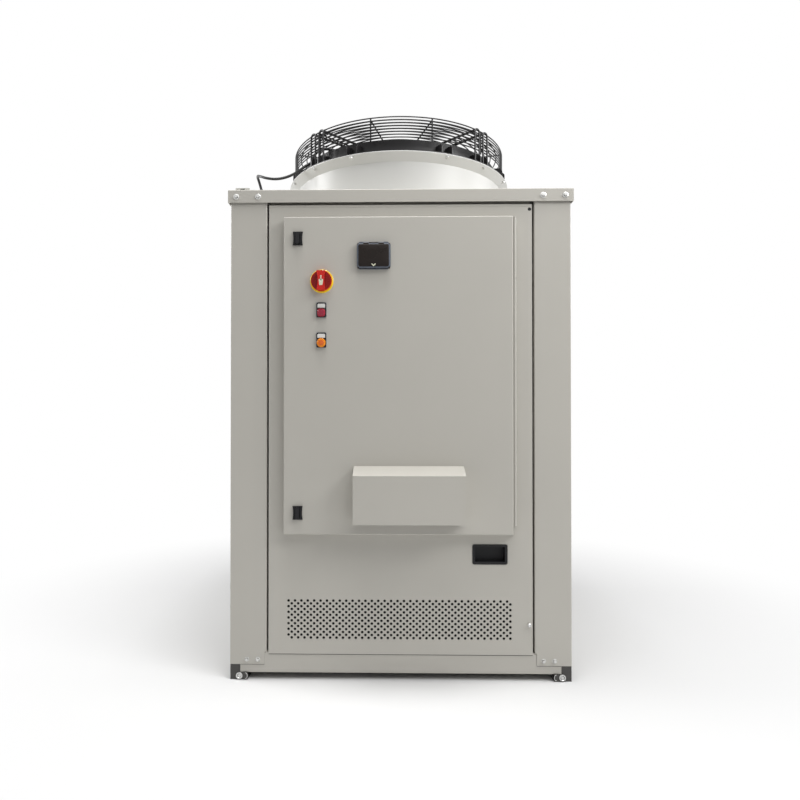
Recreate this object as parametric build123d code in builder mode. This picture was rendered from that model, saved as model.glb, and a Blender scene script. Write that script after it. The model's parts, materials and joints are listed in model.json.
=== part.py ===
from build123d import *
import os
from math import cos, radians, tan

os.makedirs("parts", exist_ok=True)

# A monoblock heat pump with one fan that blows straight up, in millimetres.
# The origin is on the floor, in the middle of the four anchor holes, and the front faces -Y.

# Cabinet
width = 1000.0
depth = 1000.0
roof_height = 1440.0
sheet = 2.0  # folded steel sheet
bend = 3.0  # outside radius of its folds
fit = 0.3  # gap left between pieces that seat on each other
half_width = width / 2
half_depth = depth / 2
front = -half_depth

# Base frame and feet
rail_low = 20.0
rail_high = 80.0
rail_flange = 28.0
corner_size = 30.0  # square kept free at each corner for the foot
gusset_size = 96.0
gusset_thick = 3.0
foot_high = 45.0
foot_plate = 10.0
foot_reach = 52.0  # from the corner of the cabinet to the inner edge of the foot
foot_tab = 18.0  # past the corner post
anchor_inset = 41.0  # from the faces of the cabinet to the anchor hole
anchor_radius = 5.5

# Corner posts
post_face = 107.5
post_return = 20.0
post_notch = 6.0
post_notch_high = rail_high + 1.0

# Roof cap
cap_overhang = 7.0
cap_depth = 38.0
roof_plate_size = 42.0
roof_plate_thick = 5.0
roof_plate_inset = 32.0
roof_under = roof_height - sheet

# Panels
panel_gap = 6.0
panel_return = 20.0
panel_low = 76.0
panel_top_gap = 14.0  # below the skirt of the roof cap
panel_high = roof_height - cap_depth - panel_top_gap
panel_half = half_width - post_face - panel_gap
panel_span_x = 2 * panel_half
panel_span_y = depth - 2 * post_face - 2 * panel_gap
lower_panel_high = 488.0
deck_inset = 4.0  # from the outside of the panels
deck_gap = 6.0  # behind the control box
return_low = rail_high + sheet + 0.5

# Coils
coil_depth = 60.0
coil_setback = 12.0
coil_frame = 14.0
fin_relief = 4.0
fin_count = 20
fin_thick = 3.0

# Control box
box_left = -331.0
box_right = 306.0
box_low = 438.0
box_top_gap = 43.0  # below the top edge of the front panel
box_high = panel_high - box_top_gap
box_proud = 12.0
box_deep = 160.0
mount_plate_gap = 8.0
mount_plate_thick = 3.0
mount_plate_inset = 26.0
mount_stud_inset = 20.0  # from the edges of the plate
mount_stud_radius = 5.0
rail_strip_high = 35.0
rail_strip_deep = 8.0
rail_strip_count = 3
rail_strip_inset = 20.0  # from the sides of the plate

# Control door
door_lap = 7.0  # past the box at its left, top and bottom
door_hinge_lap = 19.5  # past the box at its right
door_left = box_left - door_lap
door_right = box_right + door_hinge_lap
door_low = box_low - door_lap
door_high = box_high + door_lap
door_proud = 30.0
door_clear = 5.0
gasket_width = 10.0
gasket_lap = 3.0
door_face = front - door_proud
door_back = front - door_clear
rim_face = front - box_proud

# Piano hinge along the right edge of the door
hinge_gap = 2.0
hinge_leaf_width = 10.0
hinge_radius = 4.5
hinge_pin_radius = 2.0
hinge_running = 0.08
hinge_foot = 26.0  # bare leaf under the lowest knuckle
knuckle_count = 5
knuckle_gap = 1.0
hinge_x = door_right + hinge_gap + hinge_radius
hinge_y = door_face + 9.5

# Latches
latch_inset = 41.5  # from the left edge of the door
latch_drop = 64.0  # from the top edge of the door
latch_rise = 63.0  # from the bottom edge of the door
latch_x = door_left + latch_inset
latch_heights = {"upper": door_high - latch_drop, "lower": door_low + latch_rise}
latch_width = 29.0
latch_high = 39.0
latch_waist = 25.0
latch_base = 4.0
latch_grip_width = 11.0
latch_grip_proud = 9.0
latch_shaft_radius = 5.0
latch_grip_corner = 3.0
latch_shaft_reach = 10.0  # behind the door's face
latch_tongue = 20.0
latch_tongue_heel = 6.0
latch_tongue_thick = 3.0
latch_tongue_high = 14.0
running = 0.1

# Main switch
switch_inset = 110.5
switch_drop = 188.0
switch_x = door_left + switch_inset
switch_z = door_high - switch_drop
switch_plate_radius = 32.5
switch_plate_thick = 3.0
switch_disc_radius = 30.0
switch_disc_thick = 8.0
switch_grip_top = 24.0
switch_grip_waist = 17.0
switch_grip_proud = 18.0
switch_shaft_radius = 8.0
switch_shaft_reach = 12.0  # behind the disc

# Pilot lights
pilot_inset = 110.0
pilot_below = 83.5  # from the middle of the switch down to the red light's holder
pilot_pitch = 87.0
pilot_x = door_left + pilot_inset
pilot_width = 30.0
pilot_high = 44.5
pilot_thick = 3.5
pilot_drop = 8.5  # from the middle of the holder down to the lens
pilot_proud = 8.0
pilot_heights = {"red": switch_z - pilot_below, "orange": switch_z - pilot_below - pilot_pitch}
pilot_radii = {"red": 11.4, "orange": 13.0}

# Hinged window
window_inset = 261.5
window_drop = 114.5
window_x = door_left + window_inset
window_z = door_high - window_drop
window_width = 97.5
window_high = 79.5
window_corner = 8.0
window_frame_thick = 4.0
window_frame_border = 11.0
flap_thick = 11.0
flap_bevel = 4.0
flap_wall = 2.5
flap_inset = 1.5
flap_barrel_radius = 4.2
flap_pin_radius = 1.5
flap_ear_inner = 14.0
flap_ear_outer = 30.0
controller_width = 71.0
controller_high = 53.0
controller_deep = 45.0

# Vent hood on the door
hood_inset = 204.0
hood_width = 317.0
hood_rise = 38.0
hood_front_high = 137.0
hood_slope_high = 23.0
hood_left = door_left + hood_inset
hood_right = hood_left + hood_width
hood_low = door_low + hood_rise
hood_brow = hood_low + hood_front_high
hood_high = hood_brow + hood_slope_high
hood_proud = 57.0
hood_sheet = 1.5

# Perforated field, pull handle and lock in the front panel
vent_left_inset = 52.5  # from the edges of the front panel
vent_right_inset = 58.5
vent_rise = 40.0
vent_field_high = 122.0
vent_left = -panel_half + vent_left_inset
vent_right = panel_half - vent_right_inset
vent_low = panel_low + vent_rise
vent_high = vent_low + vent_field_high
vent_columns = 11
vent_rows = 2
vent_hole_radius = 17.0
pull_inset = 73.0
pull_rise = 264.0
pull_width = 102.5
pull_cup_high = 58.5
pull_right = panel_half - pull_inset
pull_left = pull_right - pull_width
pull_low = panel_low + pull_rise
pull_high = pull_low + pull_cup_high
pull_lip = 1.6
pull_border = 5.0
pull_deep = 28.0
pull_wall = 2.5
lock_inset = 10.5
lock_rise = 89.0
lock_x = panel_half - lock_inset
lock_z = panel_low + lock_rise
lock_radius = 5.5
lock_proud = 8.0
lock_barrel_radius = lock_radius - 1.5
lock_barrel_reach = 12.0  # behind the panel's face
lock_slot_deep = 2.0
lock_slot_half = 0.8
spare_hole_inset = 7.0
spare_hole_drop = 7.5
spare_hole_x = panel_half - spare_hole_inset
spare_hole_z = panel_high - spare_hole_drop
spare_hole_radius = 5.2

# Water connections on the rear
stub_x = (-250.0, -130.0)
stub_z = 180.0
stub_radius = 21.0
stub_wall = 4.0
stub_proud = 52.0
stub_inside = 30.0
stub_nut_radius = 31.0
stub_nut_thick = 9.0

# Fan cowl
cowl_radius = 378.0
cowl_foot = 15.0
cowl_lap = 6.0  # roof left inside the cowl's wall
cowl_wall_high = 134.0  # from the roof up to the flare
roof_hole_radius = cowl_radius - cowl_lap
cowl_shoulder = roof_height + cowl_wall_high
cowl_flare = 23.0
cowl_lip = 19.0
cowl_top = cowl_shoulder + cowl_flare + sheet

# Fan ring
ring_plate_lap = 20.0  # past the cowl's wall
ring_plate_thick = 3.0
ring_clear = 23.0  # between the ring's wall and the cowl's wall
ring_wall = 3.0
ring_rise = 54.0  # above the top of the cowl
ring_drop = 59.0  # below the top of the cowl
ring_plate_radius = cowl_radius + ring_plate_lap
ring_radius = cowl_radius - ring_clear
ring_top = cowl_top + ring_rise
ring_low = cowl_top - ring_drop
ring_foot_width = 36.0
ring_foot_high = 24.0
ring_foot_thick = 3.0
ring_foot_angles = (22.5, 45.0, 67.5)
plate_under = cowl_top + fit
plate_top = plate_under + ring_plate_thick

# Wire guard
guard_clear = 26.0  # outside the ring's wall
guard_rise = 43.0  # above the top of the cowl
guard_high = 69.0
guard_radius = ring_radius + guard_clear
guard_low = cowl_top + guard_rise
guard_top = guard_low + guard_high
guard_wire = 4.0
guard_sides = 24  # of each ring, with the ribs at the middle of their sides
guard_turn = 180 / guard_sides
guard_side_rings = 4
guard_top_rings = 4
guard_inner_radius = 144.0
guard_rib_step = 30.0
guard_rib_start = 15.0

# Guard struts and motor
strut_wire = 2.5
strut_radius = guard_radius + strut_wire + 0.5
strut_pair = 21.0
strut_half = 10.0
strut_cut = 6.0  # of the hairpin's upper corners
arm_radius = 4.0
arm_z = guard_top + fit + arm_radius
hub_plate_radius = 98.0
hub_plate_hole = 40.0
arm_inner = hub_plate_hole + 20.0
hub_plate_thick = 5.0
motor_radius = 88.0
motor_high = 69.0
motor_low = guard_top - motor_high
motor_chamfer = 8.0
motor_shaft_radius = 10.0
motor_shaft_length = 42.0
motor_gland_radius = 9.0
motor_gland_proud = 12.0
motor_gland_sunk = 5.0  # into the round side of the motor
motor_gland_drop = 14.0
motor_gland_reach = motor_radius + motor_gland_proud
motor_gland_z = guard_top - motor_gland_drop

# Impeller
hub_radius = 95.0
hub_thick = 74.0
hub_gap = 6.0  # below the motor
hub_chamfer = 12.0
hub_high = motor_low - hub_gap
hub_low = hub_high - hub_thick
blade_count = 5
blade_tip_clear = 9.0
blade_tip_radius = ring_radius - ring_wall - blade_tip_clear
blade_thick = 5.0
blade_margin = 10.0  # of the tip's cut, past the hub's height at both ends
blade_stations = (
    (hub_radius - 6.0, 110.0, 38.0),
    (215.0, 150.0, 28.0),
    (blade_tip_radius + 5.0, 185.0, 20.0),
)

# Cable
cable_radius = 4.5
cable_sides = 8  # of the tube's section
cable_start_gap = 0.5  # above the gland on the roof
cable_end_gap = 2.5  # outside the motor's gland
gland_inset = 38.0  # from the left face of the cabinet
gland_x = -half_width + gland_inset
gland_y = -150.0
gland_high = 22.0
gland_nut_radius = 12.0  # to the corners of the hexagon
gland_nut_high = 7.0
gland_dome_radius = 9.0


def slab(x, y, z, mode=Mode.ADD):
    """A block between two limits along each axis, in the piece that is being made."""
    middle = ((x[0] + x[1]) / 2, (y[0] + y[1]) / 2, (z[0] + z[1]) / 2)
    with Locations(middle):
        Box(x[1] - x[0], y[1] - y[0], z[1] - z[0], mode=mode)


def facing_front(distance, x=0.0, z=0.0):
    """The upright plane that faces the front, at that distance in front of the fan's axis."""
    return Plane(origin=(x, -distance, z), x_dir=(1, 0, 0), z_dir=(0, -1, 0))


def waisted(half_wide, half_waist, half_high):
    """A face that is narrower in the middle than at its top and bottom."""
    with BuildLine() as outline:
        ThreePointArc((half_wide, -half_high), (half_waist, 0), (half_wide, half_high))
        Line((half_wide, half_high), (-half_wide, half_high))
        ThreePointArc((-half_wide, half_high), (-half_waist, 0), (-half_wide, -half_high))
        Line((-half_wide, -half_high), (half_wide, -half_high))
    make_face(outline.edges())


corners = {
    "front_left": (-1, -1),
    "front_right": (1, -1),
    "rear_left": (-1, 1),
    "rear_right": (1, 1),
}

# The base frame is four channels, open to the inside, joined by a gusset plate at each corner.
with BuildPart() as base_frame:
    for side in (-1, 1):
        with BuildSketch(Plane.YZ):
            with BuildLine():
                outer = side * (half_depth - sheet)
                inner = side * (half_depth - sheet - rail_flange)
                FilletPolyline(
                    (inner, rail_high),
                    (outer, rail_high),
                    (outer, rail_low),
                    (inner, rail_low),
                    radius=bend,
                )
                offset(amount=sheet, side=Side.LEFT if side < 0 else Side.RIGHT)
            make_face()
        extrude(amount=half_width - corner_size, both=True)
        with BuildSketch(Plane.XZ):
            with BuildLine():
                outer = side * (half_width - sheet)
                inner = side * (half_width - sheet - rail_flange)
                FilletPolyline(
                    (inner, rail_high),
                    (outer, rail_high),
                    (outer, rail_low),
                    (inner, rail_low),
                    radius=bend,
                )
                offset(amount=sheet, side=Side.LEFT if side < 0 else Side.RIGHT)
            make_face()
        extrude(amount=half_depth - corner_size - fit, both=True)
    for x_side, y_side in corners.values():
        gusset_x = x_side * (half_width - 2 * sheet - bend - gusset_size / 2)
        gusset_y = y_side * (half_depth - 2 * sheet - bend - gusset_size / 2)
        with BuildSketch(Plane.XY.offset(rail_high - sheet / 2)):
            with Locations((gusset_x, gusset_y)):
                Rectangle(gusset_size, gusset_size)
        extrude(amount=-gusset_thick)
base_frame.part.label = "base_frame"
export_step(base_frame.part, "parts/base_frame.step")

# Each foot is a block under the post and a plate under the rails' ends, with the anchor hole.
with BuildPart() as corner_feet:
    for x_side, y_side in corners.values():
        outer_x = x_side * (half_width - 1.0)
        outer_y = y_side * (half_depth - 1.0)
        post_x = x_side * (half_width - corner_size + 1.0)
        post_y = y_side * (half_depth - corner_size + 1.0)
        inner_x = x_side * (half_width - foot_reach)
        inner_y = y_side * (half_depth - foot_reach)
        slab(sorted((outer_x, post_x)), sorted((outer_y, post_y)), (0, foot_high))
        slab(sorted((outer_x, inner_x)), sorted((outer_y, inner_y)), (0, foot_plate))
        pad_x = x_side * (half_width - corner_size - foot_tab)
        pad_y = y_side * (half_depth - corner_size - foot_tab)
        slab(sorted((outer_x, pad_x)), sorted((outer_y, post_y)), (0, rail_low))
        slab(sorted((outer_x, post_x)), sorted((outer_y, pad_y)), (0, rail_low))
    with BuildSketch():
        with GridLocations(width - 2 * anchor_inset, depth - 2 * anchor_inset, 2, 2):
            Circle(anchor_radius)
    extrude(amount=foot_plate, mode=Mode.SUBTRACT)
corner_feet.part.label = "corner_feet"
export_step(corner_feet.part, "parts/corner_feet.step")

# Each corner post is one folded sheet, with a return along both inner edges.
for corner, (x_side, y_side) in corners.items():
    with BuildPart() as corner_post:
        with BuildSketch(Plane.XY.offset(foot_high)):
            with BuildLine():
                FilletPolyline(
                    (x_side * (half_width - post_face), y_side * (half_depth - post_return)),
                    (x_side * (half_width - post_face), y_side * half_depth),
                    (x_side * half_width, y_side * half_depth),
                    (x_side * half_width, y_side * (half_depth - post_face)),
                    (x_side * (half_width - post_return), y_side * (half_depth - post_face)),
                    radius=bend,
                )
                offset(amount=sheet, side=Side.RIGHT if x_side * y_side > 0 else Side.LEFT)
            make_face()
        extrude(amount=roof_under - foot_high)
        post_x = half_width - post_face
        post_y = half_depth - post_face
        notch_x = sorted((x_side * post_x, x_side * (post_x + post_notch)))
        notch_y = sorted((y_side * post_y, y_side * (post_y + post_notch)))
        edge_x = sorted((x_side * (half_width - post_return), x_side * half_width))
        edge_y = sorted((y_side * (half_depth - post_return), y_side * half_depth))
        slab(notch_x, edge_y, (foot_high, post_notch_high), Mode.SUBTRACT)
        slab(edge_x, notch_y, (foot_high, post_notch_high), Mode.SUBTRACT)
    corner_post.part.label = f"corner_post_{corner}"
    export_step(corner_post.part, f"parts/corner_post_{corner}.step")

# The roof cap is a shallow tray turned over the posts, with the round hole for the fan.
with BuildPart() as roof_cap:
    with BuildSketch(Plane.XY.offset(roof_height)):
        Rectangle(width + 2 * cap_overhang, depth + 2 * cap_overhang)
    extrude(amount=-cap_depth)
    fillet(roof_cap.faces().sort_by(Axis.Z)[-1].edges(), radius=bend)
    offset(amount=-sheet, openings=roof_cap.faces().sort_by(Axis.Z)[0])
    with BuildSketch(Plane.XY.offset(roof_height)):
        Circle(roof_hole_radius)
    extrude(amount=-sheet, mode=Mode.SUBTRACT)
    with BuildSketch(Plane.XY.offset(roof_height)):
        with Locations((gland_x, gland_y)):
            Circle(cable_radius + 2.0)
    extrude(amount=-sheet, mode=Mode.SUBTRACT)
roof_cap.part.label = "roof_cap"
export_step(roof_cap.part, "parts/roof_cap.step")

# A small plate lies on the roof near its front left corner.
with BuildPart() as roof_plate:
    with BuildSketch(Plane.XY.offset(roof_height)):
        with Locations((-half_width + roof_plate_inset, -half_depth + roof_plate_inset)):
            Rectangle(roof_plate_size, roof_plate_size)
    extrude(amount=roof_plate_thick)
    chamfer(roof_plate.faces().sort_by(Axis.Z)[-1].edges(), length=1.5)
roof_plate.part.label = "roof_plate"
export_step(roof_plate.part, "parts/roof_plate.step")

# The lower deck closes the bottom. The upper one lies on the lower panels and carries the coils.
deck_front = rim_face + box_proud + box_deep + deck_gap
with BuildPart() as decks:
    with BuildSketch(Plane.XY.offset(rail_high)):
        Rectangle(width - 2 * post_face - 2 * sheet, depth - 2 * panel_return - 4 * sheet)
        Rectangle(width - 2 * panel_return - 4 * sheet, depth - 2 * post_face - 2 * sheet)
    extrude(amount=sheet)
    deck_level = (lower_panel_high, lower_panel_high + sheet)
    slab((-half_width + deck_inset, half_width - deck_inset), (deck_front, panel_span_y / 2), deck_level)
    slab((-panel_half, panel_half), (panel_span_y / 2, half_depth - deck_inset), deck_level)
decks.part.label = "decks"
export_step(decks.part, "parts/decks.step")

# The front panel is a folded sheet with the cut-out for the control box.
with BuildPart() as front_panel:
    slab((-panel_half, panel_half), (front, front + sheet), (panel_low, panel_high))
    for side in (-1, 1):
        slab(
            sorted((side * panel_half, side * (panel_half - sheet))),
            (front, front + panel_return),
            (return_low, panel_high),
        )
    slab((-panel_half, panel_half), (front, front + panel_return), (panel_high - sheet, panel_high))
    slab(
        (box_left - fit, box_right + fit),
        (front, front + sheet),
        (box_low - fit, box_high + fit),
        Mode.SUBTRACT,
    )
    slab((vent_left, vent_right), (front, front + sheet), (vent_low, vent_high), Mode.SUBTRACT)
    slab(
        (pull_left + pull_border - fit, pull_right - pull_border + fit),
        (front, front + sheet),
        (pull_low + pull_border - fit, pull_high - pull_border + fit),
        Mode.SUBTRACT,
    )
    with BuildSketch(facing_front(-front)):
        with Locations((lock_x, lock_z)):
            Circle(lock_barrel_radius + fit)
        with Locations((spare_hole_x, spare_hole_z)):
            Circle(spare_hole_radius)
    extrude(amount=-sheet, mode=Mode.SUBTRACT)
front_panel.part.label = "front_panel"
export_step(front_panel.part, "parts/front_panel.step")

# The perforated field fills its place in the front panel.
with BuildPart() as vent_field:
    slab((vent_left, vent_right), (front, front + sheet), (vent_low, vent_high))
    with BuildSketch(facing_front(-front)):
        with Locations(((vent_left + vent_right) / 2, (vent_low + vent_high) / 2)):
            with GridLocations(
                (vent_right - vent_left) / vent_columns,
                vent_field_high / vent_rows,
                vent_columns,
                vent_rows,
            ):
                RegularPolygon(vent_hole_radius, 6)
    extrude(amount=-sheet, mode=Mode.SUBTRACT)
vent_field.part.label = "vent_field"
export_step(vent_field.part, "parts/vent_field.step")

# The left, right and rear faces have a plain panel below and a finned coil above.
sides = {
    "left": (-90, half_width, panel_span_y),
    "right": (90, half_width, panel_span_y),
    "rear": (180, half_depth, panel_span_x),
}
with BuildPart() as lower_panels:
    for turn, reach, span in sides.values():
        with Locations(Rotation(0, 0, turn)):
            slab((-span / 2, span / 2), (-reach, -reach + sheet), (panel_low, lower_panel_high))
            for side in (-1, 1):
                slab(
                    sorted((side * span / 2, side * (span / 2 - sheet))),
                    (-reach, -reach + panel_return),
                    (return_low, lower_panel_high),
                )
            top_return = (lower_panel_high - sheet, lower_panel_high)
            slab((-span / 2, span / 2), (-reach, -reach + panel_return), top_return)
    with BuildSketch(facing_front(-half_depth)):
        for x in stub_x:
            with Locations((x, stub_z)):
                Circle(stub_radius + fit)
    extrude(amount=sheet, mode=Mode.SUBTRACT)
lower_panels.part.label = "lower_panels"
export_step(lower_panels.part, "parts/lower_panels.step")

for side_name, (turn, reach, span) in sides.items():
    with BuildPart(Plane.XY.rotated((0, 0, turn))) as coil:
        face = -reach + coil_setback
        low = lower_panel_high + sheet
        slab((-span / 2, span / 2), (face, face + coil_depth), (low, roof_under - fit))
        finned = span - 2 * coil_frame
        slab(
            (-finned / 2, finned / 2),
            (face, face + fin_relief),
            (low + coil_frame, roof_height - cap_depth - coil_frame),
            Mode.SUBTRACT,
        )
        fin_pitch = finned / fin_count
        for number in range(fin_count):
            x = -finned / 2 + (number + 0.5) * fin_pitch
            slab(
                (x - fin_thick / 2, x + fin_thick / 2),
                (face, face + fin_relief),
                (low + coil_frame, roof_height - cap_depth - coil_frame),
            )
    coil.part.label = f"coil_{side_name}"
    export_step(coil.part, f"parts/coil_{side_name}.step")

# The control box is a tray through the front panel, with its rim a little proud of it.
with BuildPart() as control_box:
    slab((box_left, box_right), (rim_face, rim_face + box_proud + box_deep), (box_low, box_high))
    offset(amount=-sheet, openings=control_box.faces().sort_by(Axis.Y)[0])
control_box.part.label = "control_box"
export_step(control_box.part, "parts/control_box.step")

# The mounting plate stands on studs in front of the tray's back, and carries the device rails.
box_inner_back = rim_face + box_proud + box_deep - sheet
plate_back = box_inner_back - mount_plate_gap
plate_front = plate_back - mount_plate_thick
with BuildPart() as mounting_plate:
    slab(
        (box_left + mount_plate_inset, box_right - mount_plate_inset),
        (plate_front, plate_back),
        (box_low + mount_plate_inset, box_high - mount_plate_inset),
    )
    with BuildSketch(facing_front(-plate_back)):
        with Locations(((box_left + box_right) / 2, (box_low + box_high) / 2)):
            with GridLocations(
                box_right - box_left - 2 * (mount_plate_inset + mount_stud_inset),
                box_high - box_low - 2 * (mount_plate_inset + mount_stud_inset),
                2,
                2,
            ):
                RegularPolygon(mount_stud_radius, 6)
    extrude(amount=-mount_plate_gap)
    rail_pitch = (box_high - box_low - 2 * mount_plate_inset) / rail_strip_count
    strip_left = box_left + mount_plate_inset + rail_strip_inset
    strip_right = box_right - mount_plate_inset - rail_strip_inset
    for number in range(rail_strip_count):
        middle = box_low + mount_plate_inset + (number + 0.5) * rail_pitch
        slab(
            (strip_left, strip_right),
            (plate_front - rail_strip_deep, plate_front),
            (middle - rail_strip_high / 2, middle + rail_strip_high / 2),
        )
mounting_plate.part.label = "mounting_plate"
export_step(mounting_plate.part, "parts/mounting_plate.step")

# The hinge's fixed leaf lies on the front panel and carries the pin and every other knuckle.
knuckle_low = door_low + hinge_foot
knuckle_pitch = (door_high - knuckle_low) / knuckle_count
with BuildPart() as hinge_leaf:
    leaf_left = door_right + hinge_gap
    leaf_front = hinge_y + hinge_radius + 0.5
    slab((leaf_left, leaf_left + hinge_leaf_width), (leaf_front, front), (door_low, door_high))
    for number in range(0, knuckle_count, 2):
        low = knuckle_low + number * knuckle_pitch
        with BuildSketch(Plane.XY.offset(low)):
            with Locations((hinge_x, hinge_y)):
                Circle(hinge_radius)
            with Locations((hinge_x, (hinge_y + leaf_front + 1.0) / 2)):
                Rectangle(3.0, leaf_front + 1.0 - hinge_y)
        extrude(amount=knuckle_pitch - knuckle_gap)
    with BuildSketch(Plane.XY.offset(knuckle_low)):
        with Locations((hinge_x, hinge_y)):
            Circle(hinge_pin_radius)
    extrude(amount=door_high - knuckle_low - knuckle_gap)
hinge_leaf.part.label = "hinge_leaf"
export_step(hinge_leaf.part, "parts/hinge_leaf.step")

# The control door is a folded pan, with the moving knuckles on its right edge.
with BuildPart() as control_door:
    slab((door_left, door_right), (door_face, door_back), (door_low, door_high))
    fillet(control_door.faces().sort_by(Axis.Y)[0].edges(), radius=bend)
    offset(amount=-sheet, openings=control_door.faces().sort_by(Axis.Y)[-1])
    for number in range(1, knuckle_count, 2):
        low = knuckle_low + number * knuckle_pitch
        with BuildSketch(Plane.XY.offset(low)):
            with Locations((hinge_x, hinge_y)):
                Circle(hinge_radius)
            with Locations(((door_right - sheet + hinge_x) / 2, hinge_y)):
                Rectangle(hinge_x - door_right + sheet, 3.0)
            with Locations((hinge_x, hinge_y)):
                Circle(hinge_pin_radius + hinge_running, mode=Mode.SUBTRACT)
        extrude(amount=knuckle_pitch - knuckle_gap)
    with BuildSketch(facing_front(-door_face)):
        for height in latch_heights.values():
            with Locations((latch_x, height)):
                Circle(latch_shaft_radius + running)
        with Locations((switch_x, switch_z)):
            Circle(switch_shaft_radius + running)
        for colour, height in pilot_heights.items():
            with Locations((pilot_x, height - pilot_drop)):
                Circle(pilot_radii[colour] - 2.0 + fit)
        with Locations((window_x, window_z)):
            Rectangle(controller_width + 2 * fit, controller_high + 2 * fit)
    extrude(amount=-sheet, mode=Mode.SUBTRACT)
control_door.part.label = "control_door"
export_step(control_door.part, "parts/control_door.step")

# The gasket is a foam frame inside the door that closes on the rim of the box.
with BuildPart() as door_gasket:
    with BuildSketch(facing_front(-rim_face + fit)):
        with Locations(((box_left + box_right) / 2, (box_low + box_high) / 2)):
            outer_width = box_right - box_left + 2 * gasket_lap
            outer_high = box_high - box_low + 2 * gasket_lap
            Rectangle(outer_width, outer_high)
            Rectangle(outer_width - 2 * gasket_width, outer_high - 2 * gasket_width, mode=Mode.SUBTRACT)
    extrude(amount=door_proud - box_proud - sheet - fit)
door_gasket.part.label = "door_gasket"
export_step(door_gasket.part, "parts/door_gasket.step")

# Each latch is a waisted knob with a raised grip, on a shaft with a tongue behind the door.
for latch_name, height in latch_heights.items():
    with BuildPart() as latch:
        with BuildSketch(facing_front(-door_face + fit, latch_x, height)):
            waisted(latch_width / 2, latch_waist / 2, latch_high / 2)
        extrude(amount=latch_base)
        with BuildSketch(facing_front(-door_face + fit + latch_base)):
            with Locations((latch_x, height)):
                RectangleRounded(latch_grip_width, latch_high - 2 * latch_grip_corner, latch_grip_corner)
        extrude(amount=latch_grip_proud)
        with BuildSketch(facing_front(-door_face + fit)):
            with Locations((latch_x, height)):
                Circle(latch_shaft_radius)
        extrude(amount=-latch_shaft_reach)
        tongue_back = door_face + latch_shaft_reach - fit
        slab(
            (latch_x - latch_tongue, latch_x + latch_tongue_heel),
            (tongue_back - latch_tongue_thick, tongue_back),
            (height - latch_tongue_high / 2, height + latch_tongue_high / 2),
        )
    latch.part.label = f"latch_{latch_name}"
    export_step(latch.part, f"parts/latch_{latch_name}.step")

# The main switch has a round yellow plate on the door and a red handle with a waisted grip.
with BuildPart() as switch_plate:
    with BuildSketch(facing_front(-door_face)):
        with Locations((switch_x, switch_z)):
            Circle(switch_plate_radius)
            Circle(switch_shaft_radius + running, mode=Mode.SUBTRACT)
    extrude(amount=switch_plate_thick)
switch_plate.part.label = "switch_plate"
export_step(switch_plate.part, "parts/switch_plate.step")

switch_back = -door_face + switch_plate_thick + fit
with BuildPart() as switch_handle:
    with BuildSketch(facing_front(switch_back)):
        with Locations((switch_x, switch_z)):
            Circle(switch_disc_radius)
    extrude(amount=switch_disc_thick)
    with BuildSketch(facing_front(switch_back + switch_disc_thick, switch_x, switch_z)):
        waisted(switch_grip_top / 2, switch_grip_waist / 2, switch_disc_radius - 2.0)
    extrude(amount=switch_grip_proud - switch_disc_thick)
    with BuildSketch(facing_front(switch_back)):
        with Locations((switch_x, switch_z)):
            Circle(switch_shaft_radius)
    extrude(amount=-switch_shaft_reach)
switch_handle.part.label = "switch_handle"
export_step(switch_handle.part, "parts/switch_handle.step")

# Two legend holders, each with a square base for its lens.
with BuildPart() as pilot_holders:
    for colour, height in pilot_heights.items():
        with BuildSketch(facing_front(-door_face)):
            with Locations((pilot_x, height)):
                RectangleRounded(pilot_width, pilot_high, 3.0)
            with Locations((pilot_x, height - pilot_drop)):
                Circle(pilot_radii[colour] - 2.0 + fit, mode=Mode.SUBTRACT)
        extrude(amount=pilot_thick)
pilot_holders.part.label = "pilot_holders"
export_step(pilot_holders.part, "parts/pilot_holders.step")

for colour, height in pilot_heights.items():
    with BuildPart() as pilot_lens:
        with BuildSketch(facing_front(-door_face + pilot_thick)):
            with Locations((pilot_x, height - pilot_drop)):
                if colour == "red":
                    RectangleRounded(2 * pilot_radii[colour], 2 * pilot_radii[colour], 7.0)
                else:
                    Circle(pilot_radii[colour])
        extrude(amount=pilot_proud)
        chamfer(pilot_lens.faces().sort_by(Axis.Y)[0].edges(), length=2.5)
        with BuildSketch(facing_front(-door_face + pilot_thick)):
            with Locations((pilot_x, height - pilot_drop)):
                Circle(pilot_radii[colour] - 2.0)
        extrude(amount=-pilot_thick - sheet - 6.0)
    pilot_lens.part.label = f"pilot_{colour}"
    export_step(pilot_lens.part, f"parts/pilot_{colour}.step")

# The window's frame has two ears at its top that hold the flap's pin.
flap_back = door_face - window_frame_thick - fit
flap_face = flap_back - flap_thick
flap_pin_y = flap_back - flap_barrel_radius - fit
flap_pin_z = window_z + window_high / 2 - flap_barrel_radius - flap_inset
with BuildPart() as window_frame:
    with BuildSketch(facing_front(-door_face)):
        with Locations((window_x, window_z)):
            frame_outline = Rectangle(window_width, window_high)
            chamfer(frame_outline.vertices(), length=window_corner)
            Rectangle(
                window_width - 2 * window_frame_border,
                window_high - 2 * window_frame_border,
                mode=Mode.SUBTRACT,
            )
    extrude(amount=window_frame_thick)
    for side in (-1, 1):
        ear_low = window_x + min(side * flap_ear_inner, side * flap_ear_outer)
        with BuildSketch(Plane.YZ.offset(ear_low)):
            with Locations((flap_pin_y, flap_pin_z)):
                Circle(flap_barrel_radius)
            with Locations(((flap_pin_y + door_face - window_frame_thick + 1.0) / 2, flap_pin_z)):
                Rectangle(door_face - window_frame_thick + 1.0 - flap_pin_y, 2 * flap_barrel_radius - 1.0)
        extrude(amount=flap_ear_outer - flap_ear_inner)
    with BuildSketch(Plane.YZ.offset(window_x - flap_ear_inner)):
        with Locations((flap_pin_y, flap_pin_z)):
            Circle(flap_pin_radius)
    extrude(amount=2 * flap_ear_inner)
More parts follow.
